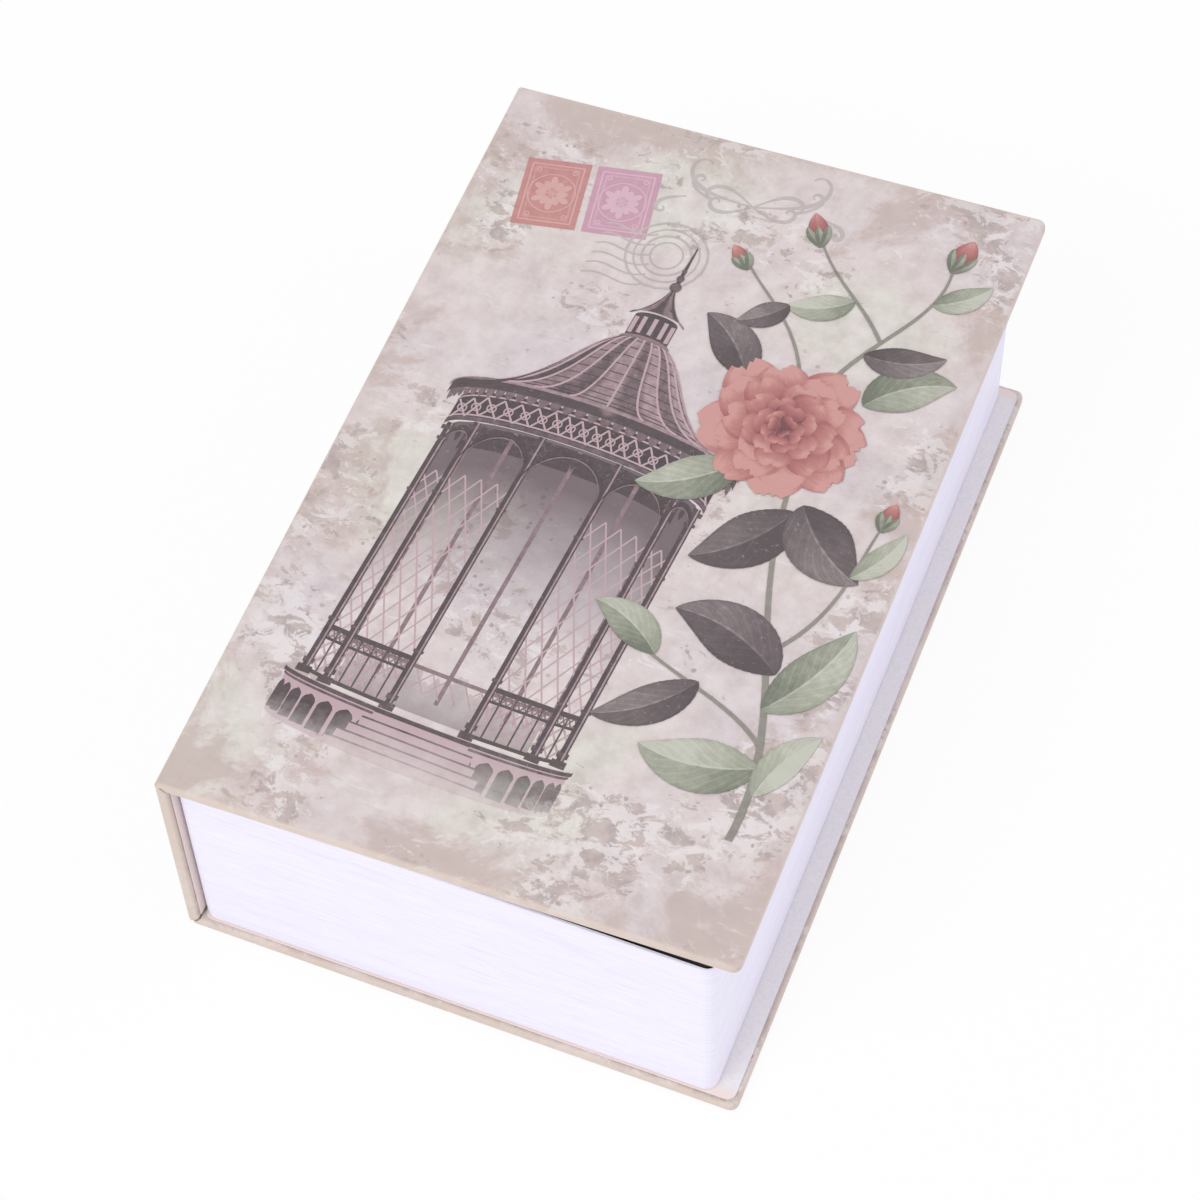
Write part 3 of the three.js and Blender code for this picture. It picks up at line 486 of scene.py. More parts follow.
def leafInk(stops):   # midrib, slanting side veins, one half lighter, dark at the stalk
    def paint(node, place):
        across, along, off, total = shapeGrid(node)
        wave = node("TexNoise", place, Scale=per(5), Detail=3)
        bent = node("Math MULTIPLY_ADD", wave, 0.10, node("Math MULTIPLY_ADD", off, -0.75, along))
        phase = node("Math PINGPONG", node("Math MULTIPLY", bent, 8), 0.5)
        for measure, *span in ((across, 0.47, 0.53, -0.13, 0.08), (along, 0, 0.6, -0.22, 0.03),
                               (off, 0.40, 0.5, 0, -0.10), (phase, 0, 0.5, -0.06, 0.05)):
            total = node("Math ADD", total, node("MapRange", measure, *span))
        vein = node("MapRange", phase, 0, 0.09, 0.11, 0)
        rib = node("MapRange", off, 0.012, 0.03, 0.22, 0)
        lined = node("Math ADD", total, node("Math MAXIMUM", vein, rib))
        mottle = node("TexNoise", place, Scale=per(2.2), Detail=7, Roughness=0.7)
        value = node("Math MULTIPLY_ADD", mottle, 0.42, lined)
        return node("ValToRGB", value, stops=stops), None
    return paint


def plainInk(stops, fade=None):   # flat ink; a tone from 1 to 2 or a place down the cover fades it
    def paint(node, place):
        tone = node("Attribute", attribute_name="tone").outputs["Fac"]
        mottle = node("TexNoise", place, Scale=per(1.6), Detail=6, Roughness=0.7)
        colour = node("ValToRGB", node("Math MULTIPLY_ADD", mottle, 0.5, tone), stops=stops)
        gone = node("MapRange", tone, 1, 2)
        if fade:
            cloud = node("TexNoise", place, Scale=per(14), Detail=6, Roughness=0.7)
            y = node("SeparateXYZ", place).outputs["Y"]
            ragged = node("Math MULTIPLY_ADD", cloud, 16 * mm, y)
            mist = node("MapRange", ragged, (fade[0] + 8) * mm, (fade[1] + 8) * mm)
            gone = node("Math MAXIMUM", mist, gone)
        return colour, gone
    return paint


petalStops = {0.30: "#6c3f40", 0.52: "#96585a", 0.74: "#b16f6b", 0.90: "#c1847d", 1.0: "#d29b93"}
sageStops = {0.38: "#69705f", 0.56: "#8c927f", 0.74: "#abaf9b", 0.92: "#c8cab9"}
umberStops = {0.38: "#4b4143", 0.56: "#625759", 0.74: "#7b7070", 0.92: "#9d9291"}
ironStops = {0.3: "#372c2f", 0.55: "#53464a", 0.8: "#937c7f", 1.0: "#c2a8ac"}
inks = {
    "petal": offsetInk("Red", petalInk, wear=0.35, wash=0.04),
    "sage": offsetInk("Sage", leafInk(sageStops), wash=0.06),
    "umber": offsetInk("Umber", leafInk(umberStops), wash=0.05),
    "stem": offsetInk("Stem", plainInk({0.3: "#6f6c64", 0.6: "#8f8c80", 0.9: "#a9a698"})),
    "iron": offsetInk("Iron", plainInk(ironStops, (-62, -78)), wear=0.45, wash=0.05),
    "shade": offsetInk("Shade", plainInk({0.5: "#463a3e", 1.0: "#66575c"}), wear=0.3),
    "line": offsetInk("Grey", plainInk({0.3: "#a1969a", 0.7: "#b8aeae"}), wear=0.9, wash=0.35),
    "pink": offsetInk("Pink", plainInk({0.3: "#c08fa2", 0.6: "#cf9fb0", 0.9: "#dcb6c2"})),
    "brick": offsetInk("Brick", plainInk({0.3: "#bb7a75", 0.6: "#c98b86", 0.9: "#d8a7a1"})),
}


# Pavilion: an iron garden bandstand, its foot lost in mist; millimetres on the cover
pavilion = {
    "middle": -15, "reach": 27, "backShare": 0.86, "hedgeShare": 0.84, "eye": -44, "depth": 0.10,
    "floor": -60, "rail": -49, "columnTop": 2, "friezeTop": 9, "corniceTop": 11.5, "eaves": 31,
    "roofLine": [(31, 11.5), (22, 13.5), (13, 20), (12.5, 30), (4.6, 35)],
    "lanternReach": 4.6, "lanternTop": 41, "capLine": [(6, 41), (4.2, 42), (1.6, 45), (0.5, 49)], "spike": 61,
    "columns": (-82, -54, -18, 18, 54, 82), "backColumns": (-66, -36, 0, 36, 66),
    "mouldings": (   # share of the column's height, width, height
        (0, 3.0, 1.6), (0.035, 2.3, 1.2), (0.2, 2.1, 0.7), (0.72, 2, 0.6), (0.93, 2.3, 0.7), (0.97, 2.9, 1)),
}


def ringSpot(angle, reach, height):   # on a level ring, in slight perspective
    turn = radians(angle)
    drop = (height - pavilion["eye"]) * pavilion["depth"] * cos(turn) * reach / pavilion["reach"]
    return Vector((pavilion["middle"] + reach * sin(turn), height + drop))


def ringBand(reach, low, high, level, tone):   # a hoop of plate or rail
    def place(across, t):
        return ringSpot(90 - 180 * t, reach, low + (high - low) * (across + 1) / 2)
    return shape(place, level, tone, 1, 30)


def post(angle, reach, low, high, width, level, tone):
    return bar(ringSpot(angle, reach, low), ringSpot(angle, reach, high), width, level, tone)


def bayPoint(bay, share, height, reach):   # bay: the angles of its two columns
    return ringSpot(bay[0], reach, height).lerp(ringSpot(bay[1], reach, height), share)


def lattice(bay, low, high, reach, cells, rows, width, level, tone):   # crossed bars that fill a bay
    tall = (high - low) / rows
    for column in range(cells):
        for row in range(rows):
            near, far = column / cells, (column + 1) / cells
            foot, head = low + row * tall, low + (row + 1) * tall
            for start, end, above in ((near, far, 0), (far, near, 1)):
                yield bar(bayPoint(bay, start, foot, reach), bayPoint(bay, end, head, reach),
                          width, level + above, tone)


def scallops(reach, low, drop, count, level, tone):   # the valance's half-rounds
    for i in range(count):
        left, right = (ringSpot(-88 + 176 * k / count, reach, low) for k in (i, i + 1))
        wide = (right - left).length * 0.46
        yield blade([left.lerp(right, 0.5) + Vector((0, 0.2)), (left + right) / 2 - Vector((0, drop))],
                    lambda t: wide * sqrt(max(1 - t * t, 0)), level, tone, 4, 6)


def roofPanel(line, left, right, level, tone):
    def place(across, t):
        return ringSpot(left + (right - left) * (across + 1) / 2, *bezier(line, t))
    return shape(place, level, tone, 3, 18)


def arch(bay, springing, rise, inset, thick, level, tone):
    def place(across, t):
        turn = pi * t
        share = 0.5 - (0.5 - 0.03 * inset) * cos(turn)
        height = springing + (rise - inset) * sin(turn) + across * thick / 2
        return bayPoint(bay, share, height, pavilion["reach"])
    return shape(place, level, tone, 1, 18)


def cellCount(bay, scale):   # as many as the bay looks wide
    return max(2, round(scale * abs(sin(radians(bay[1])) - sin(radians(bay[0])))))


def shadeShapes(reach, floor, top):   # shade under the ceiling, clearing downwards, and a hedge beyond
    yield shape(lambda across, t: ringSpot(86 * across, reach, floor + (top - floor) * t), 0,
                lambda across, t: min(2.0, 0.7 + 1.9 * (1 - t) ** 0.8 - 0.35 * abs(across) ** 4), 12, 24)

    def hedge(across, t):
        tall = 8 + 1.3 * sin(31 * t) + 0.9 * sin(71 * t + 1) + 0.5 * sin(173 * t + 2)
        return ringSpot(64 - 128 * t, reach * pavilion["hedgeShare"], floor + 1 + tall * (across + 1) / 2)
    yield shape(hedge, 0.5, lambda across, t: 1.62 + 0.16 * across, 3, 160)


def backShapes(reach, floor, rail, top):   # the far columns, rail and lattice, and the ceiling's edge
    angles = pavilion["backColumns"]
    for angle in angles:
        yield post(angle, reach, floor + 4, top, 0.9, 1, 0.5)
    yield ringBand(reach, rail - 1.5, rail - 0.7, 1, 0.5)
    for bay in zip(angles, angles[1:]):
        yield from lattice(bay, floor + 5, rail - 1.5, reach, 4, 1, 0.3, 0.2, 0.72)
    yield ringBand(reach, top - 5, top, 1, 0.2)


def plinthShapes(reach, floor, middle):   # arcaded plinth and the steps before it
    yield ringBand(reach, floor - 10, floor, 2, 0.82)
    for angle in range(-80, 81, 10):
        wide = 1.75 * cos(radians(angle)) + 0.25
        yield blade([ringSpot(angle, reach, floor - 9), ringSpot(angle, reach, floor - 2.6)],
                    lambda t: wide * min(1, 2.4 * sqrt(1.001 - t)), 3, 0.2, 2, 10)
    yield ringBand(reach + 0.3, floor - 1.6, floor - 1.1, 3, 0.35)
    yield ringBand(reach + 0.7, floor - 0.8, floor, 3, 0.3)
    for i in range(5):
        wide = 10 + 1.6 * i
        for drop, tall, level, tone in ((3.4, 2.0, 4, 0.88 - 0.08 * (i % 2)), (2.5, 0.4, 5, 0.25)):
            height = floor - drop - i * 2
            yield bar((middle - wide, height), (middle + wide, height), tall, level, tone)


def balustradeShapes(bays, reach, floor, rail, top):   # and trellis up the outer bays
    for bay in bays:
        if sum(bay) == 0:
            continue
        cells = cellCount(bay, 9.6)
        yield from lattice(bay, floor + 1.4, rail - 2.6, reach, cells, 2, 0.42, 2, 0.72)
        yield from lattice(bay, rail - 2.4, rail - 0.2, reach, cells * 2, 1, 0.3, 2, 0.45)
        for height, thick in ((floor + 1, 0.8), (rail - 2.5, 0.6), (rail, 1.1)):
            yield bar(*(bayPoint(bay, share, height, reach) for share in (0, 1)), thick, 4, 0.25)
        for i in range(1, cells):
            ends = (bayPoint(bay, i / cells, height, reach) for height in (floor + 1, rail))
            yield bar(*ends, 0.35, 4, 0.3)
    for bay in bays[:2] + bays[-2:]:
        cells, rows = (2, 9) if abs(sum(bay)) > 100 else (4, 6)
        yield from lattice(bay, rail, top - 12, reach, cells, rows, 0.34, 2, 0.86)


def columnShapes(reach, floor, top):   # with mouldings and a gleam down the shaft
    for angle in pavilion["columns"]:
        foot, head = ringSpot(angle, reach, floor), ringSpot(angle, reach, top)
        yield bar(foot, head, 1.5, 5, 0.18)
        yield bar(foot + Vector((0.3, 0)), head + Vector((0.3, 0)), 0.35, 6, 0.62)
        for share, wide, tall in pavilion["mouldings"]:
            spot = foot.lerp(head, share)
            yield bar(spot, spot + Vector((0, tall)), wide, 6, 0.3)


def archShapes(bays, reach, top):   # with ringed spandrels and a drop finial
    for bay in bays:
        wide = (ringSpot(bay[1], reach, top) - ringSpot(bay[0], reach, top)).length
        rise = min(9.0, 0.8 * wide)
        for inset, thick, tone in ((0, 1.1, 0.15), (0.9, 0.3, 0.5)):
            yield arch(bay, top - 1.2 - rise, rise, inset, thick, 5, tone)
        for share, side in ((0, 1), (1, -1)):
            for step, size, drop in ((0.13, 1.0, 1.5), (0.25, 0.65, 1.5), (0.10, 0.6, 3.4)):
                middle = bayPoint(bay, share + side * step, top - drop, reach)
                yield hoop(middle, size * min(1, wide / 12), 0.28, 4, 0.3)
        crown = bayPoint(bay, 0.5, top - 1.4, reach)
        yield blade([crown, crown - Vector((0, 3.4))], lambda t: 0.5 * sin(pi * t), 6, 0.2, 1, 8)


def friezeShapes(bays, reach, top, friezeTop):   # frieze, cornice and valance
    eaves, corniceTop = pavilion["eaves"], pavilion["corniceTop"]
    yield ringBand(reach, top, friezeTop, 4, 0.12)
    for bay in bays:
        cells = cellCount(bay, 9)
        yield from lattice(bay, top + 1.3, friezeTop - 1.2, reach, cells, 1, 0.4, 6, 0.85)
        for i in range(cells):
            middle = bayPoint(bay, (i + 0.5) / cells, (top + friezeTop) / 2, reach)
            yield hoop(middle, 0.9, 0.28, 8, 0.95)
    for height, thick, tone in ((top, 0.9, 0.35), (top + 1.1, 0.35, 0.8), (friezeTop - 1.1, 0.35, 0.8)):
        yield ringBand(reach + 0.2, height, height + thick, 8, tone)
    yield from scallops(eaves - 0.6, friezeTop + 0.6, 2.6, 34, 9, 0.42)
    yield ringBand(eaves, friezeTop, corniceTop, 10, 0.22)
    yield ringBand(eaves + 0.4, corniceTop - 0.7, corniceTop, 11, 0.6)


def roofShapes(roofLine, capLine):   # seamed bell roof, lantern, cap and spike
    reach, lanternTop = pavilion["lanternReach"], pavilion["lanternTop"]
    edges = range(-90, 91, 15)
    for i, (left, right) in enumerate(zip(edges, edges[1:])):
        tone = 0.28 + 0.22 * (i % 2) + 0.14 * sin(radians(left + 60))
        yield roofPanel(roofLine, left, right, 10, tone)
    for angle in edges[1:-1]:
        yield blade([ringSpot(angle, *point) for point in roofLine], lambda t: 0.22, 12, 0.75, 1, 18)
    for i in range(1, 11):
        x, y = bezier(roofLine, i / 11)
        yield ringBand(x, y, y + 0.2, 11, 0.12)
    low = roofLine[-1][1]
    yield ringBand(reach, low - 0.6, lanternTop, 11, 0.2)
    for angle in range(-60, 61, 30):
        yield post(angle, reach, low + 0.8, lanternTop - 1, 0.9, 12, 0.82)
    yield ringBand(reach + 0.8, low - 0.8, low, 12, 0.5)
    for i, (left, right) in enumerate(zip(edges[::2], edges[2::2])):
        yield roofPanel(capLine, left, right, 13, 0.25 + 0.25 * (i % 2))
    tip = ringSpot(0, *capLine[-1])
    spike = [tip, tip + Vector((0, pavilion["spike"] - tip.y))]
    yield blade(spike, lambda t: 0.45 * (1 - t) + 0.1, 13, 0.25, 1, 8)
    for lift, size in ((1.0, 1.2), (3.4, 0.8), (5.4, 0.5)):
        yield hoop(tip + Vector((0, lift)), size / 2, size, 14, 0.35)


def pavilionShapes():   # from the far side to the near one
    keys = ("reach", "floor", "rail", "columnTop", "friezeTop")
    reach, floor, rail, top, friezeTop = (pavilion[key] for key in keys)
    bays = list(zip(pavilion["columns"], pavilion["columns"][1:]))
    yield from inked("shade", shadeShapes(reach, floor, top))
    yield from inked("iron", itertools.chain(
        backShapes(reach * pavilion["backShare"], floor, rail, top),
        plinthShapes(reach + 2.5, floor, pavilion["middle"]),
        balustradeShapes(bays, reach, floor, rail, top),
        columnShapes(reach, floor, top),
        archShapes(bays, reach, top),
        friezeShapes(bays, reach + 1, top, friezeTop),
        roofShapes(pavilion["roofLine"], pavilion["capLine"])))


# Blossom: a full open flower, petals set by the golden angle, the outer ring first
blossom = {"centre": (25, 24), "radius": 17.5, "petals": 40, "turn": 137.508, "turnSpread": 7, "level": 26,
           "levelStep": 0.5, "drift": 0.6, "bend": 0.1, "rootShare": 0.06}


def petal(centre, angle, reach, wide, level, tone, bend, rootShare, notch=0.0, ruffle=0.0):
    out = Vector((cos(angle), sin(angle)))
    root = centre + out * reach * rootShare
    tip = centre + out * reach
    aside = Vector((-out.y, out.x))
    line = [root, root.lerp(tip, 0.5) + aside * reach * bend, tip]

    def place(across, t):   # notched at the tip, with a wave along its rim
        wave = sin(9 * across + 5 * angle) * ruffle * t ** 2
        along = t * (1 - notch * t ** 3 * (1 - abs(across)) ** 1.5) + wave * t
        half = wide * sin(pi * min(0.10 + 0.84 * t, 1) ** 1.5) ** 0.7
        return bezier(line, along) + aside * across * half * (1 + wave)
    return shape(place, level, tone, 8, 12)


def blossomShapes():
    random.seed(4)
    spread, drift, bend = blossom["turnSpread"], blossom["drift"], blossom["bend"]
    for i in range(blossom["petals"]):
        share = i / (blossom["petals"] - 1)   # 0 at the outer ring, 1 in the middle
        angle = radians(blossom["turn"] * i + random.uniform(-spread, spread))
        reach = blossom["radius"] * (1.03 - 0.90 * share ** 1.15) * random.uniform(0.93, 1.05)
        wide = (1.7 + 4.9 * (1 - share) ** 0.8) * random.uniform(0.88, 1.1)
        tone = 0.20 + 0.26 * (1 - share) + random.uniform(-0.07, 0.09)
        centre = Vector(blossom["centre"]) + Vector([random.uniform(-drift, drift) for axis in "xy"])
        level = blossom["level"] + i * blossom["levelStep"]
        shapely = (random.uniform(-bend, bend), blossom["rootShare"], random.uniform(0.02, 0.10),
                   random.uniform(0.01, 0.035))
        yield petal(centre, angle, reach, wide, level, tone, *shapely)


def bud(foot, tip, width, level, tone):   # petals held by narrow sepals
    foot, tip = Vector(foot), Vector(tip)
    side = Vector((tip.y - foot.y, foot.x - tip.x)).normalized() * width
    for shift, wide, darker in ((-0.55, 0.5, 0.1), (0.55, 0.5, 0.06), (0.0, 0.62, 0.0)):
        line = [foot, foot.lerp(tip, 0.5) + side * shift, tip]
        yield assign(inks["petal"], blade(line, lambda t: wide * width * sin(pi * t ** 0.85) ** 0.8,
                                          level, tone - darker, 3, 12))
    for shift in (-0.75, 0.0, 0.75):
        end = foot.lerp(tip, 0.62) + side * shift
        line = [foot, foot.lerp(end, 0.6) + side * shift * 0.4, end]
        yield assign(inks["sage"], blade(line, lambda t: 0.9 * sin(pi * (0.12 + 0.88 * t)) ** 0.8,
                                         level + 2, 0.35, 2, 10))


def leaf(root, tip, width, ink, tone, bow, level, teeth=16):
    root, tip = Vector(root), Vector(tip)
    side = Vector((root.y - tip.y, tip.x - root.x)) * bow

    def half(t):   # a pointed oval with a saw edge
        return width / 2 * (sin(pi * t ** 0.82) ** 0.85 + 0.035 * (1 - t) * ((t * teeth) % 1))
    line = [root, root.lerp(tip, 0.33) + side, root.lerp(tip, 0.72) + side, tip]
    return assign(inks[ink], blade(line, half, level, tone, 6, teeth * 3))


def stem(points, low, high, level):   # the widths at the root and at the tip
    return assign(inks["stem"], blade(points, lambda t: (low + (high - low) * t) / 2, level, 0.3, 1, 28))


# Spray: stems, leaves and buds round the blossom; millimetres on the cover
spray = {
    "stems": [
        ([(47, -66), (50, -40), (33, -20), (31, 12)], 1.5, 0.9),
        ([(46, -46), (38, -38), (22, -36), (14, -30)], 0.9, 0.5),
        ([(29, 34), (33, 50), (46, 58), (44, 72)], 1.0, 0.5),
        ([(36, 50), (30, 58), (22, 62), (17, 70)], 0.8, 0.4),
        ([(39.8, -26), (50, -15), (49, -2), (51, 8)], 0.9, 0.4),
        ([(25, 34), (20, 49), (10, 54), (5, 60)], 0.7, 0.4),
    ],
    "leaves": [   # root, tip, width, ink, tone, bow
        ((43, -30), (20, -22), 12.5, "umber", 0.40, -0.14), ((43, -38), (54, -16), 10.5, "sage", 0.52, -0.10),
        ((47, -50), (24, -52), 11.5, "sage", 0.58, 0.12), ((48, -56), (56, -40), 7, "sage", 0.75, 0.10),
        ((30, -36), (13, -49), 8.5, "umber", 0.46, 0.12), ((20, -33), (5, -25), 8, "sage", 0.50, -0.12),
        ((34, 6), (18, -10), 12, "umber", 0.34, 0.12), ((35, 8), (51, -6), 13, "umber", 0.44, -0.12),
        ((20, 14), (2, 3), 10, "sage", 0.48, 0.12), ((14, 33), (1, 46), 9.5, "umber", 0.42, -0.12),
        ((38, 34), (54, 44), 10.5, "sage", 0.46, 0.14), ((34, 46), (50, 50), 7.5, "umber", 0.48, -0.14),
        ((28, 58), (15, 53), 6.5, "sage", 0.62, 0.14), ((43, 62), (53, 70), 6, "sage", 0.6, -0.12),
        ((49, -5), (56, 8), 5.5, "sage", 0.68, -0.1), ((16, 53), (7, 46), 6, "umber", 0.5, 0.1),
    ],
    "buds": [   # foot, tip, width
        ((44, 71), (46, 80), 3.4), ((17, 69), (13, 77), 2.8), ((51, 7), (52, 14), 2.4),
        ((5, 59), (0, 64), 2.2)],
}


def sprayShapes():
    for i, values in enumerate(spray["stems"]):
        yield stem(*values, 16 + 0.5 * i)
    for i, values in enumerate(spray["leaves"]):
        yield leaf(*values, 19 + 0.4 * i)
    for values in spray["buds"]:
        yield from bud(*values, 20, 0.36)


# Labels: two plain printed rectangles with a rosette each, one pink and one brick
labels = {"size": (13.5, 17.5), "gap": 1.4, "centre": (-33, 66), "turn": 9, "frame": 1.3, "line": 0.35,
          "petals": 12, "cornerInset": 2.9}


def label(left, low):
    wide, tall = labels["size"]
    inset, line = labels["frame"], labels["line"]
    centre = Vector((left + wide / 2, low + tall / 2))
    yield bar((left + wide / 2, low), (left + wide / 2, low + tall), wide, 0, 0.25)
    for share, tone in ((0, 0.75), (1.5, 0.5)):   # a double frame line
        step = share * line * 1.6
        x0, x1 = left + inset + step, left + wide - inset - step
        y0, y1 = low + inset + step, low + tall - inset - step
        for a, b in (((x0, y0), (x1, y0)), ((x0, y1), (x1, y1)), ((x0, y0), (x0, y1)), ((x1, y0), (x1, y1))):
            yield bar(a, b, line, 1 + share, tone)
    for i in range(labels["petals"]):
        odd = i % 2
        angle = 2 * pi * i / labels["petals"]
        yield petal(centre, angle, 4.4 if odd else 3.4, 0.75, 2 + 0.5 * odd, 0.8 - 0.12 * odd, 0, 0.25)
    yield hoop(centre, 0.5, 0.99, 4, 0.5)
    yield hoop(centre, 5.0, 0.3, 2, 0.7)
    for sx, sy in itertools.product((-1, 1), (-1, 1)):
        corner = Vector((sx * (wide / 2 - labels["cornerInset"]), sy * (tall / 2 - labels["cornerInset"])))
        yield hoop(centre + corner, 0.45, 0.3, 2, 0.7)


def labelShapes():
    wide, tall = labels["size"]
    x, y = labels["centre"]
    yield from inked("brick", label(x - wide - labels["gap"] / 2, y - tall / 2))
    yield from inked("pink", label(x + labels["gap"] / 2, y - tall / 2))


# Flourish: pale pen scrolls in mirrored pairs, rings and ripples
flourish = {"centre": (8, 74), "steps": 26, "width": 0.35, "tilt": 6, "rings": ((-6, 58), 8.5, 1.7),
            "scrolls": (   # start, heading, length, curl
                (0, 8, 26, 24), (0, 38, 17, -30), (0, -30, 15, 32), (9, 30, 12, 34), (14, -14, 12, -36))}


def scroll(start, angle, length, curl):   # a line that winds itself up
    steps = flourish["steps"]
    points = [Vector(start)]
    heading = radians(angle)
    for i in range(steps):
        heading += radians(curl) * (i / steps) ** 1.6
        ahead = Vector((cos(heading), sin(heading)))
        points.append(points[-1] + ahead * length / steps * (1.25 - 0.7 * i / steps))

    def place(across, t):
        spot = t * steps
        low = min(int(spot), steps - 1)
        ahead = points[low + 1] - points[low]
        side = Vector((ahead.y, -ahead.x)).normalized()
        swell = flourish["width"] * (0.45 + 0.9 * sin(pi * t) ** 2)
        return points[low].lerp(points[low + 1], spot - low) + side * across * swell
    return shape(place, 0, 0.4, 1, steps * 2)


def flourishShapes():
    for mirror in (1, -1):
        for start, *rest in flourish["scrolls"]:
            made = scroll((start, 0), *rest)
            if mirror < 0:
                made.data.flip_normals()
            for vert in made.data.vertices:
                vert.co.x = vert.co.x * mirror + flourish["centre"][0]
                vert.co.y += flourish["centre"][1]
            yield made
    centre, radius, step = flourish["rings"]
    for i in range(4):
        yield hoop(centre, radius - step * i, 0.3 if i % 2 else 0.45, 1, 0.4)
    for i in range(6):
        rise = i * 2.6
        line = [(-22 + 0.4 * i, 50.5 + rise), (-17, 52.5 + rise), (-14, 47.5 + rise), (-9, 50 + rise)]
        yield blade(line, lambda t: 0.18, 3, 0.4, 1, 16)


printed("printPavilion", pavilionShapes(), -4, (pavilion["middle"], pavilion["floor"]))
printed("printSpray", sprayShapes())
printed("printBlossom", inked("petal", blossomShapes()))
printed("printLabels", labelShapes(), labels["turn"], labels["centre"])
printed("printFlourish", inked("line", flourishShapes()), flourish["tilt"])
print("cover print done")


# Wheel numbers: 0 to 9 pad-printed in white round each wheel, one to a flat
digits = {"height": 3, "width": 0.8, "ink": 0.04, "count": 10, "markSize": 0.9, "markGap": 2.2, "merge": 1e-7}

# two-part epoxy ink laid on by a silicone pad: opaque, slightly uneven, satin
padInk = material(
    "padPrintedInk", grain(0.2, 0.02, {0.3: "#d9d8d3", 0.6: "#efeeea"}, Scale=per(0.5), Detail=4),
    {"Roughness": 0.45})


def digitMesh(number):   # one figure, centred, millimetres, lying face up
    bpy.ops.object.text_add()
    figure = bpy.context.object
    figure.data.body = str(number)
    figure.data.extrude = 0
    bpy.ops.object.convert(target="MESH")
    figure = bpy.context.object
    low, high = Vector(figure.bound_box[0]), Vector(figure.bound_box[6])
    factor = digits["height"] / (high.y - low.y)
    sizing = Matrix.Diagonal((factor * digits["width"], factor, 1, 1))
    figure.data.transform(sizing @ Matrix.Translation(-(low + high) / 2))
    return figure


def makeDigits():
    for wheel in (1, 2, 3):
        body = f"wheel_{wheel}"
        axle = jointPlace(f"{body}_turn")
        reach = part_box(f"number_wheel_{wheel}")[1].z - axle.z + digits["ink"] * mm
        ring = []
        for number in range(digits["count"]):
            figure = digitMesh(number)
            angle = 2 * pi * number / digits["count"]
            out = Vector((sin(angle), 0, cos(angle)))
            upward = Vector((-cos(angle), 0, sin(angle)))
            turn = Matrix((Vector((0, 1, 0)), upward, out)).transposed().to_4x4()
            figure.data.transform(Matrix.Translation(axle + out * reach) @ turn @ Matrix.Scale(mm, 4))
            ring.append(figure)
        numbers = joined(f"wheelNumbers{wheel}", ring)
        thicken(numbers, digits["ink"] * mm, digits["merge"])
        assign(padInk, numbers)
        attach(numbers, body)


def makeIndexMark():   # an arrowhead on the bezel where the numbers are read
    place = (jointPlace("wheel_1_turn").x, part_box("number_wheel_1")[0].y - digits["markGap"] * mm,
             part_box("lock_bezel")[1].z + digits["ink"] * mm)
    bpy.ops.mesh.primitive_circle_add(
        vertices=3, radius=digits["markSize"] * mm, fill_type="NGON", location=place)
    mark = bpy.context.object
    bpy.ops.object.transform_apply()
    mark.name = "indexMark"
    thicken(mark, digits["ink"] * mm, digits["merge"])
    assign(padInk, mark)
    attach(mark, "lid")


makeDigits()
makeIndexMark()
print("wheel numbers done")


# Lock screws: pan heads with a cross recess, seen inside the open lid
screw = {"headHeight": 1.3, "shankRadius": 1.1, "bevel": 0.5, "bevelSteps": 4, "sides": 40, "smoothAngle": 35,
         "recessReach": 1.25, "recessWidth": 0.5, "recessDepth": 0.8}


def pickFaces(piece, way):   # selects the faces that look up (1) or down (-1)
    turnTo("EDIT")
    bpy.ops.mesh.select_mode(type="FACE")
    bpy.ops.mesh.select_all(action="DESELECT")
    turnTo("OBJECT")
    for face in piece.data.polygons:
        face.select = face.normal.z * way > 0.9
    turnTo("EDIT")


def cutRecess(head, place, turn):
    for arm in (0, pi / 2):
        bpy.ops.mesh.primitive_cube_add(size=mm, location=place, rotation=(0, 0, turn + arm))
        cutter = bpy.context.object
        cutter.scale = (2 * screw["recessReach"], screw["recessWidth"], 2 * screw["recessDepth"])
        cut = head.modifiers.new("recess", "BOOLEAN")
        cut.object = cutter
        cut.solver = "EXACT"
        bpy.context.view_layer.objects.active = head
        bpy.ops.object.modifier_apply(modifier="recess")
        bpy.data.objects.remove(cutter)


def makeScrews():
    random.seed(11)
    for number in (1, 2, 3, 4):
        low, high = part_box(f"lock_screw_{number}")
        middle = (low + high) / 2
        radius = (high.x - low.x) / 2
        headHeight = screw["headHeight"] * mm
        bpy.ops.mesh.primitive_cylinder_add(
            vertices=screw["sides"], radius=radius, depth=headHeight,
            location=(middle.x, middle.y, low.z + headHeight / 2))
        head = bpy.context.object
        bpy.ops.object.transform_apply()
        head.name = f"lockScrew{number}"
        pickFaces(head, -1)
        bpy.ops.mesh.bevel(offset=screw["bevel"] * mm, segments=screw["bevelSteps"], affect="EDGES")
        pickFaces(head, 1)
        bpy.ops.mesh.inset(thickness=radius - screw["shankRadius"] * mm)
        shank = (0, 0, high.z - low.z - headHeight)
        bpy.ops.mesh.extrude_region_move(TRANSFORM_OT_translate={"value": shank})
        turnTo("OBJECT")
        cutRecess(head, (middle.x, middle.y, low.z), random.uniform(0, pi / 2))
        bpy.ops.object.select_all(action="DESELECT")
        head.select_set(True)
        bpy.ops.object.shade_smooth_by_angle(angle=radians(screw["smoothAngle"]))
        assign(finishes["zinc_steel"], head)
        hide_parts(f"lock_screw_{number}")
        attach(head, "lid")


makeScrews()
print("screws done")


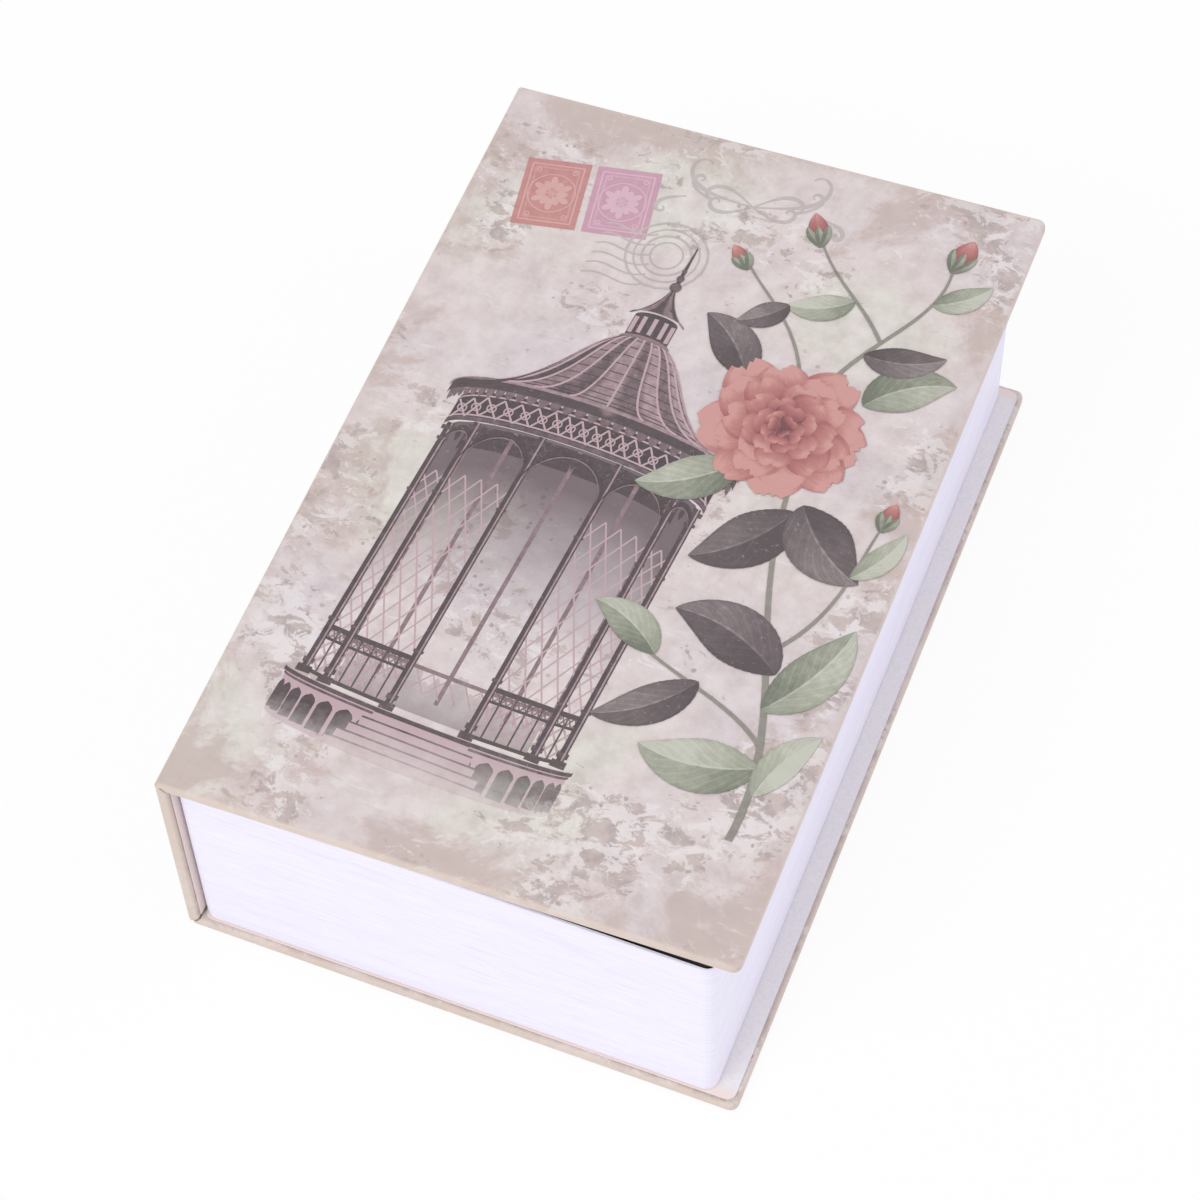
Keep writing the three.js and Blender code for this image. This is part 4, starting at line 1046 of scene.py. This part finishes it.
# Studio: white floor, soft key from the front left, even sky
studio = {
    "floorSize": 6, "floorDrop": 0.2, "floorLift": 0.9, "skyTint": "#fbfaff", "skyStrength": 0.72,
    "key": {"place": (-0.7, -1.5, 1.7), "size": 1.5, "power": 17, "tint": "#ffffff"},
    "fill": {"place": (1.6, 0.4, 1.3), "size": 1.2, "power": 5.6, "tint": "#ece9ff"},
}


def seenDirectly(tree, output, share, lit, seen):   # seen: for camera, mirror and glass rays
    node = partial(add, tree)
    path = node("LightPath").outputs
    first = node("Math MAXIMUM", path["Is Camera Ray"], path["Is Glossy Ray"])
    direct = node("Math MAXIMUM", first, path["Is Transmission Ray"])
    both = node("MixShader", node("Math MULTIPLY", direct, share), lit, node(seen, Color="#ffffff"))
    plug(tree, tree.nodes[output].inputs["Surface"], both)


def makeFloor():
    bpy.ops.mesh.primitive_plane_add(size=studio["floorSize"], location=(0, 0, -studio["floorDrop"] * mm))
    floor = bpy.context.object
    floor.name = "floor"
    mat = bpy.data.materials.new("paleFloor")
    mat.use_nodes = True
    matt = mat.node_tree.nodes["Principled BSDF"]
    for key, value in {"Base Color": "#ffffff", "Roughness": 0.9, "Specular IOR Level": 0}.items():
        plug(mat.node_tree, matt.inputs[key], value)
    seenDirectly(mat.node_tree, "Material Output", studio["floorLift"], matt, "Emission")
    assign(mat, floor)


def makeSky():
    world = bpy.data.worlds.new("sky")
    bpy.context.scene.world = world
    world.use_nodes = True
    light = world.node_tree.nodes["Background"]
    light.inputs["Color"].default_value = toLinear(studio["skyTint"])
    light.inputs["Strength"].default_value = studio["skyStrength"]
    seenDirectly(world.node_tree, "World Output", 1, light, "Background")


def makeLamp(name, place, size, power, tint):
    data = bpy.data.lights.new(name, "AREA")
    data.shape = "DISK"
    data.size = size
    data.energy = power
    data.color = toLinear(tint)[:3]
    lamp = bpy.data.objects.new(name, data)
    bpy.context.scene.collection.objects.link(lamp)
    lamp.location = place
    lamp.rotation_mode = "QUATERNION"
    lamp.rotation_quaternion = (Vector(place) * -1).to_track_quat("-Z", "Y")


makeFloor()
makeSky()
for lampName in ("key", "fill"):
    makeLamp(lampName, **studio[lampName])
bpy.context.scene.view_settings.view_transform = "Standard"

# Camera: fitted to the photo's edges; azimuth, elevation and roll in degrees, distances in metres
view = {"angles": (23.442, 57.723, -2.33), "distance": 0.70833, "aim": (-0.001644, -0.008002, 0.03),
        "lens": 106.344, "sensor": 36}


def makeCamera():
    azimuth, elevation, roll = (radians(angle) for angle in view["angles"])
    level = cos(elevation)
    back = Vector((sin(azimuth) * level, -cos(azimuth) * level, sin(elevation)))
    right = Vector((0, 0, 1)).cross(back).normalized()
    up = back.cross(right)
    turnedRight = right * cos(roll) + up * sin(roll)
    turnedUp = up * cos(roll) - right * sin(roll)
    data = bpy.data.cameras.new("photoCamera")
    data.lens = view["lens"]
    data.sensor_width = view["sensor"]
    camera = bpy.data.objects.new("photoCamera", data)
    bpy.context.scene.collection.objects.link(camera)
    camera.matrix_world = Matrix((turnedRight, turnedUp, back)).transposed().to_4x4()
    camera.location = Vector(view["aim"]) + back * view["distance"]
    bpy.context.scene.camera = camera


makeCamera()
print("studio and camera done")
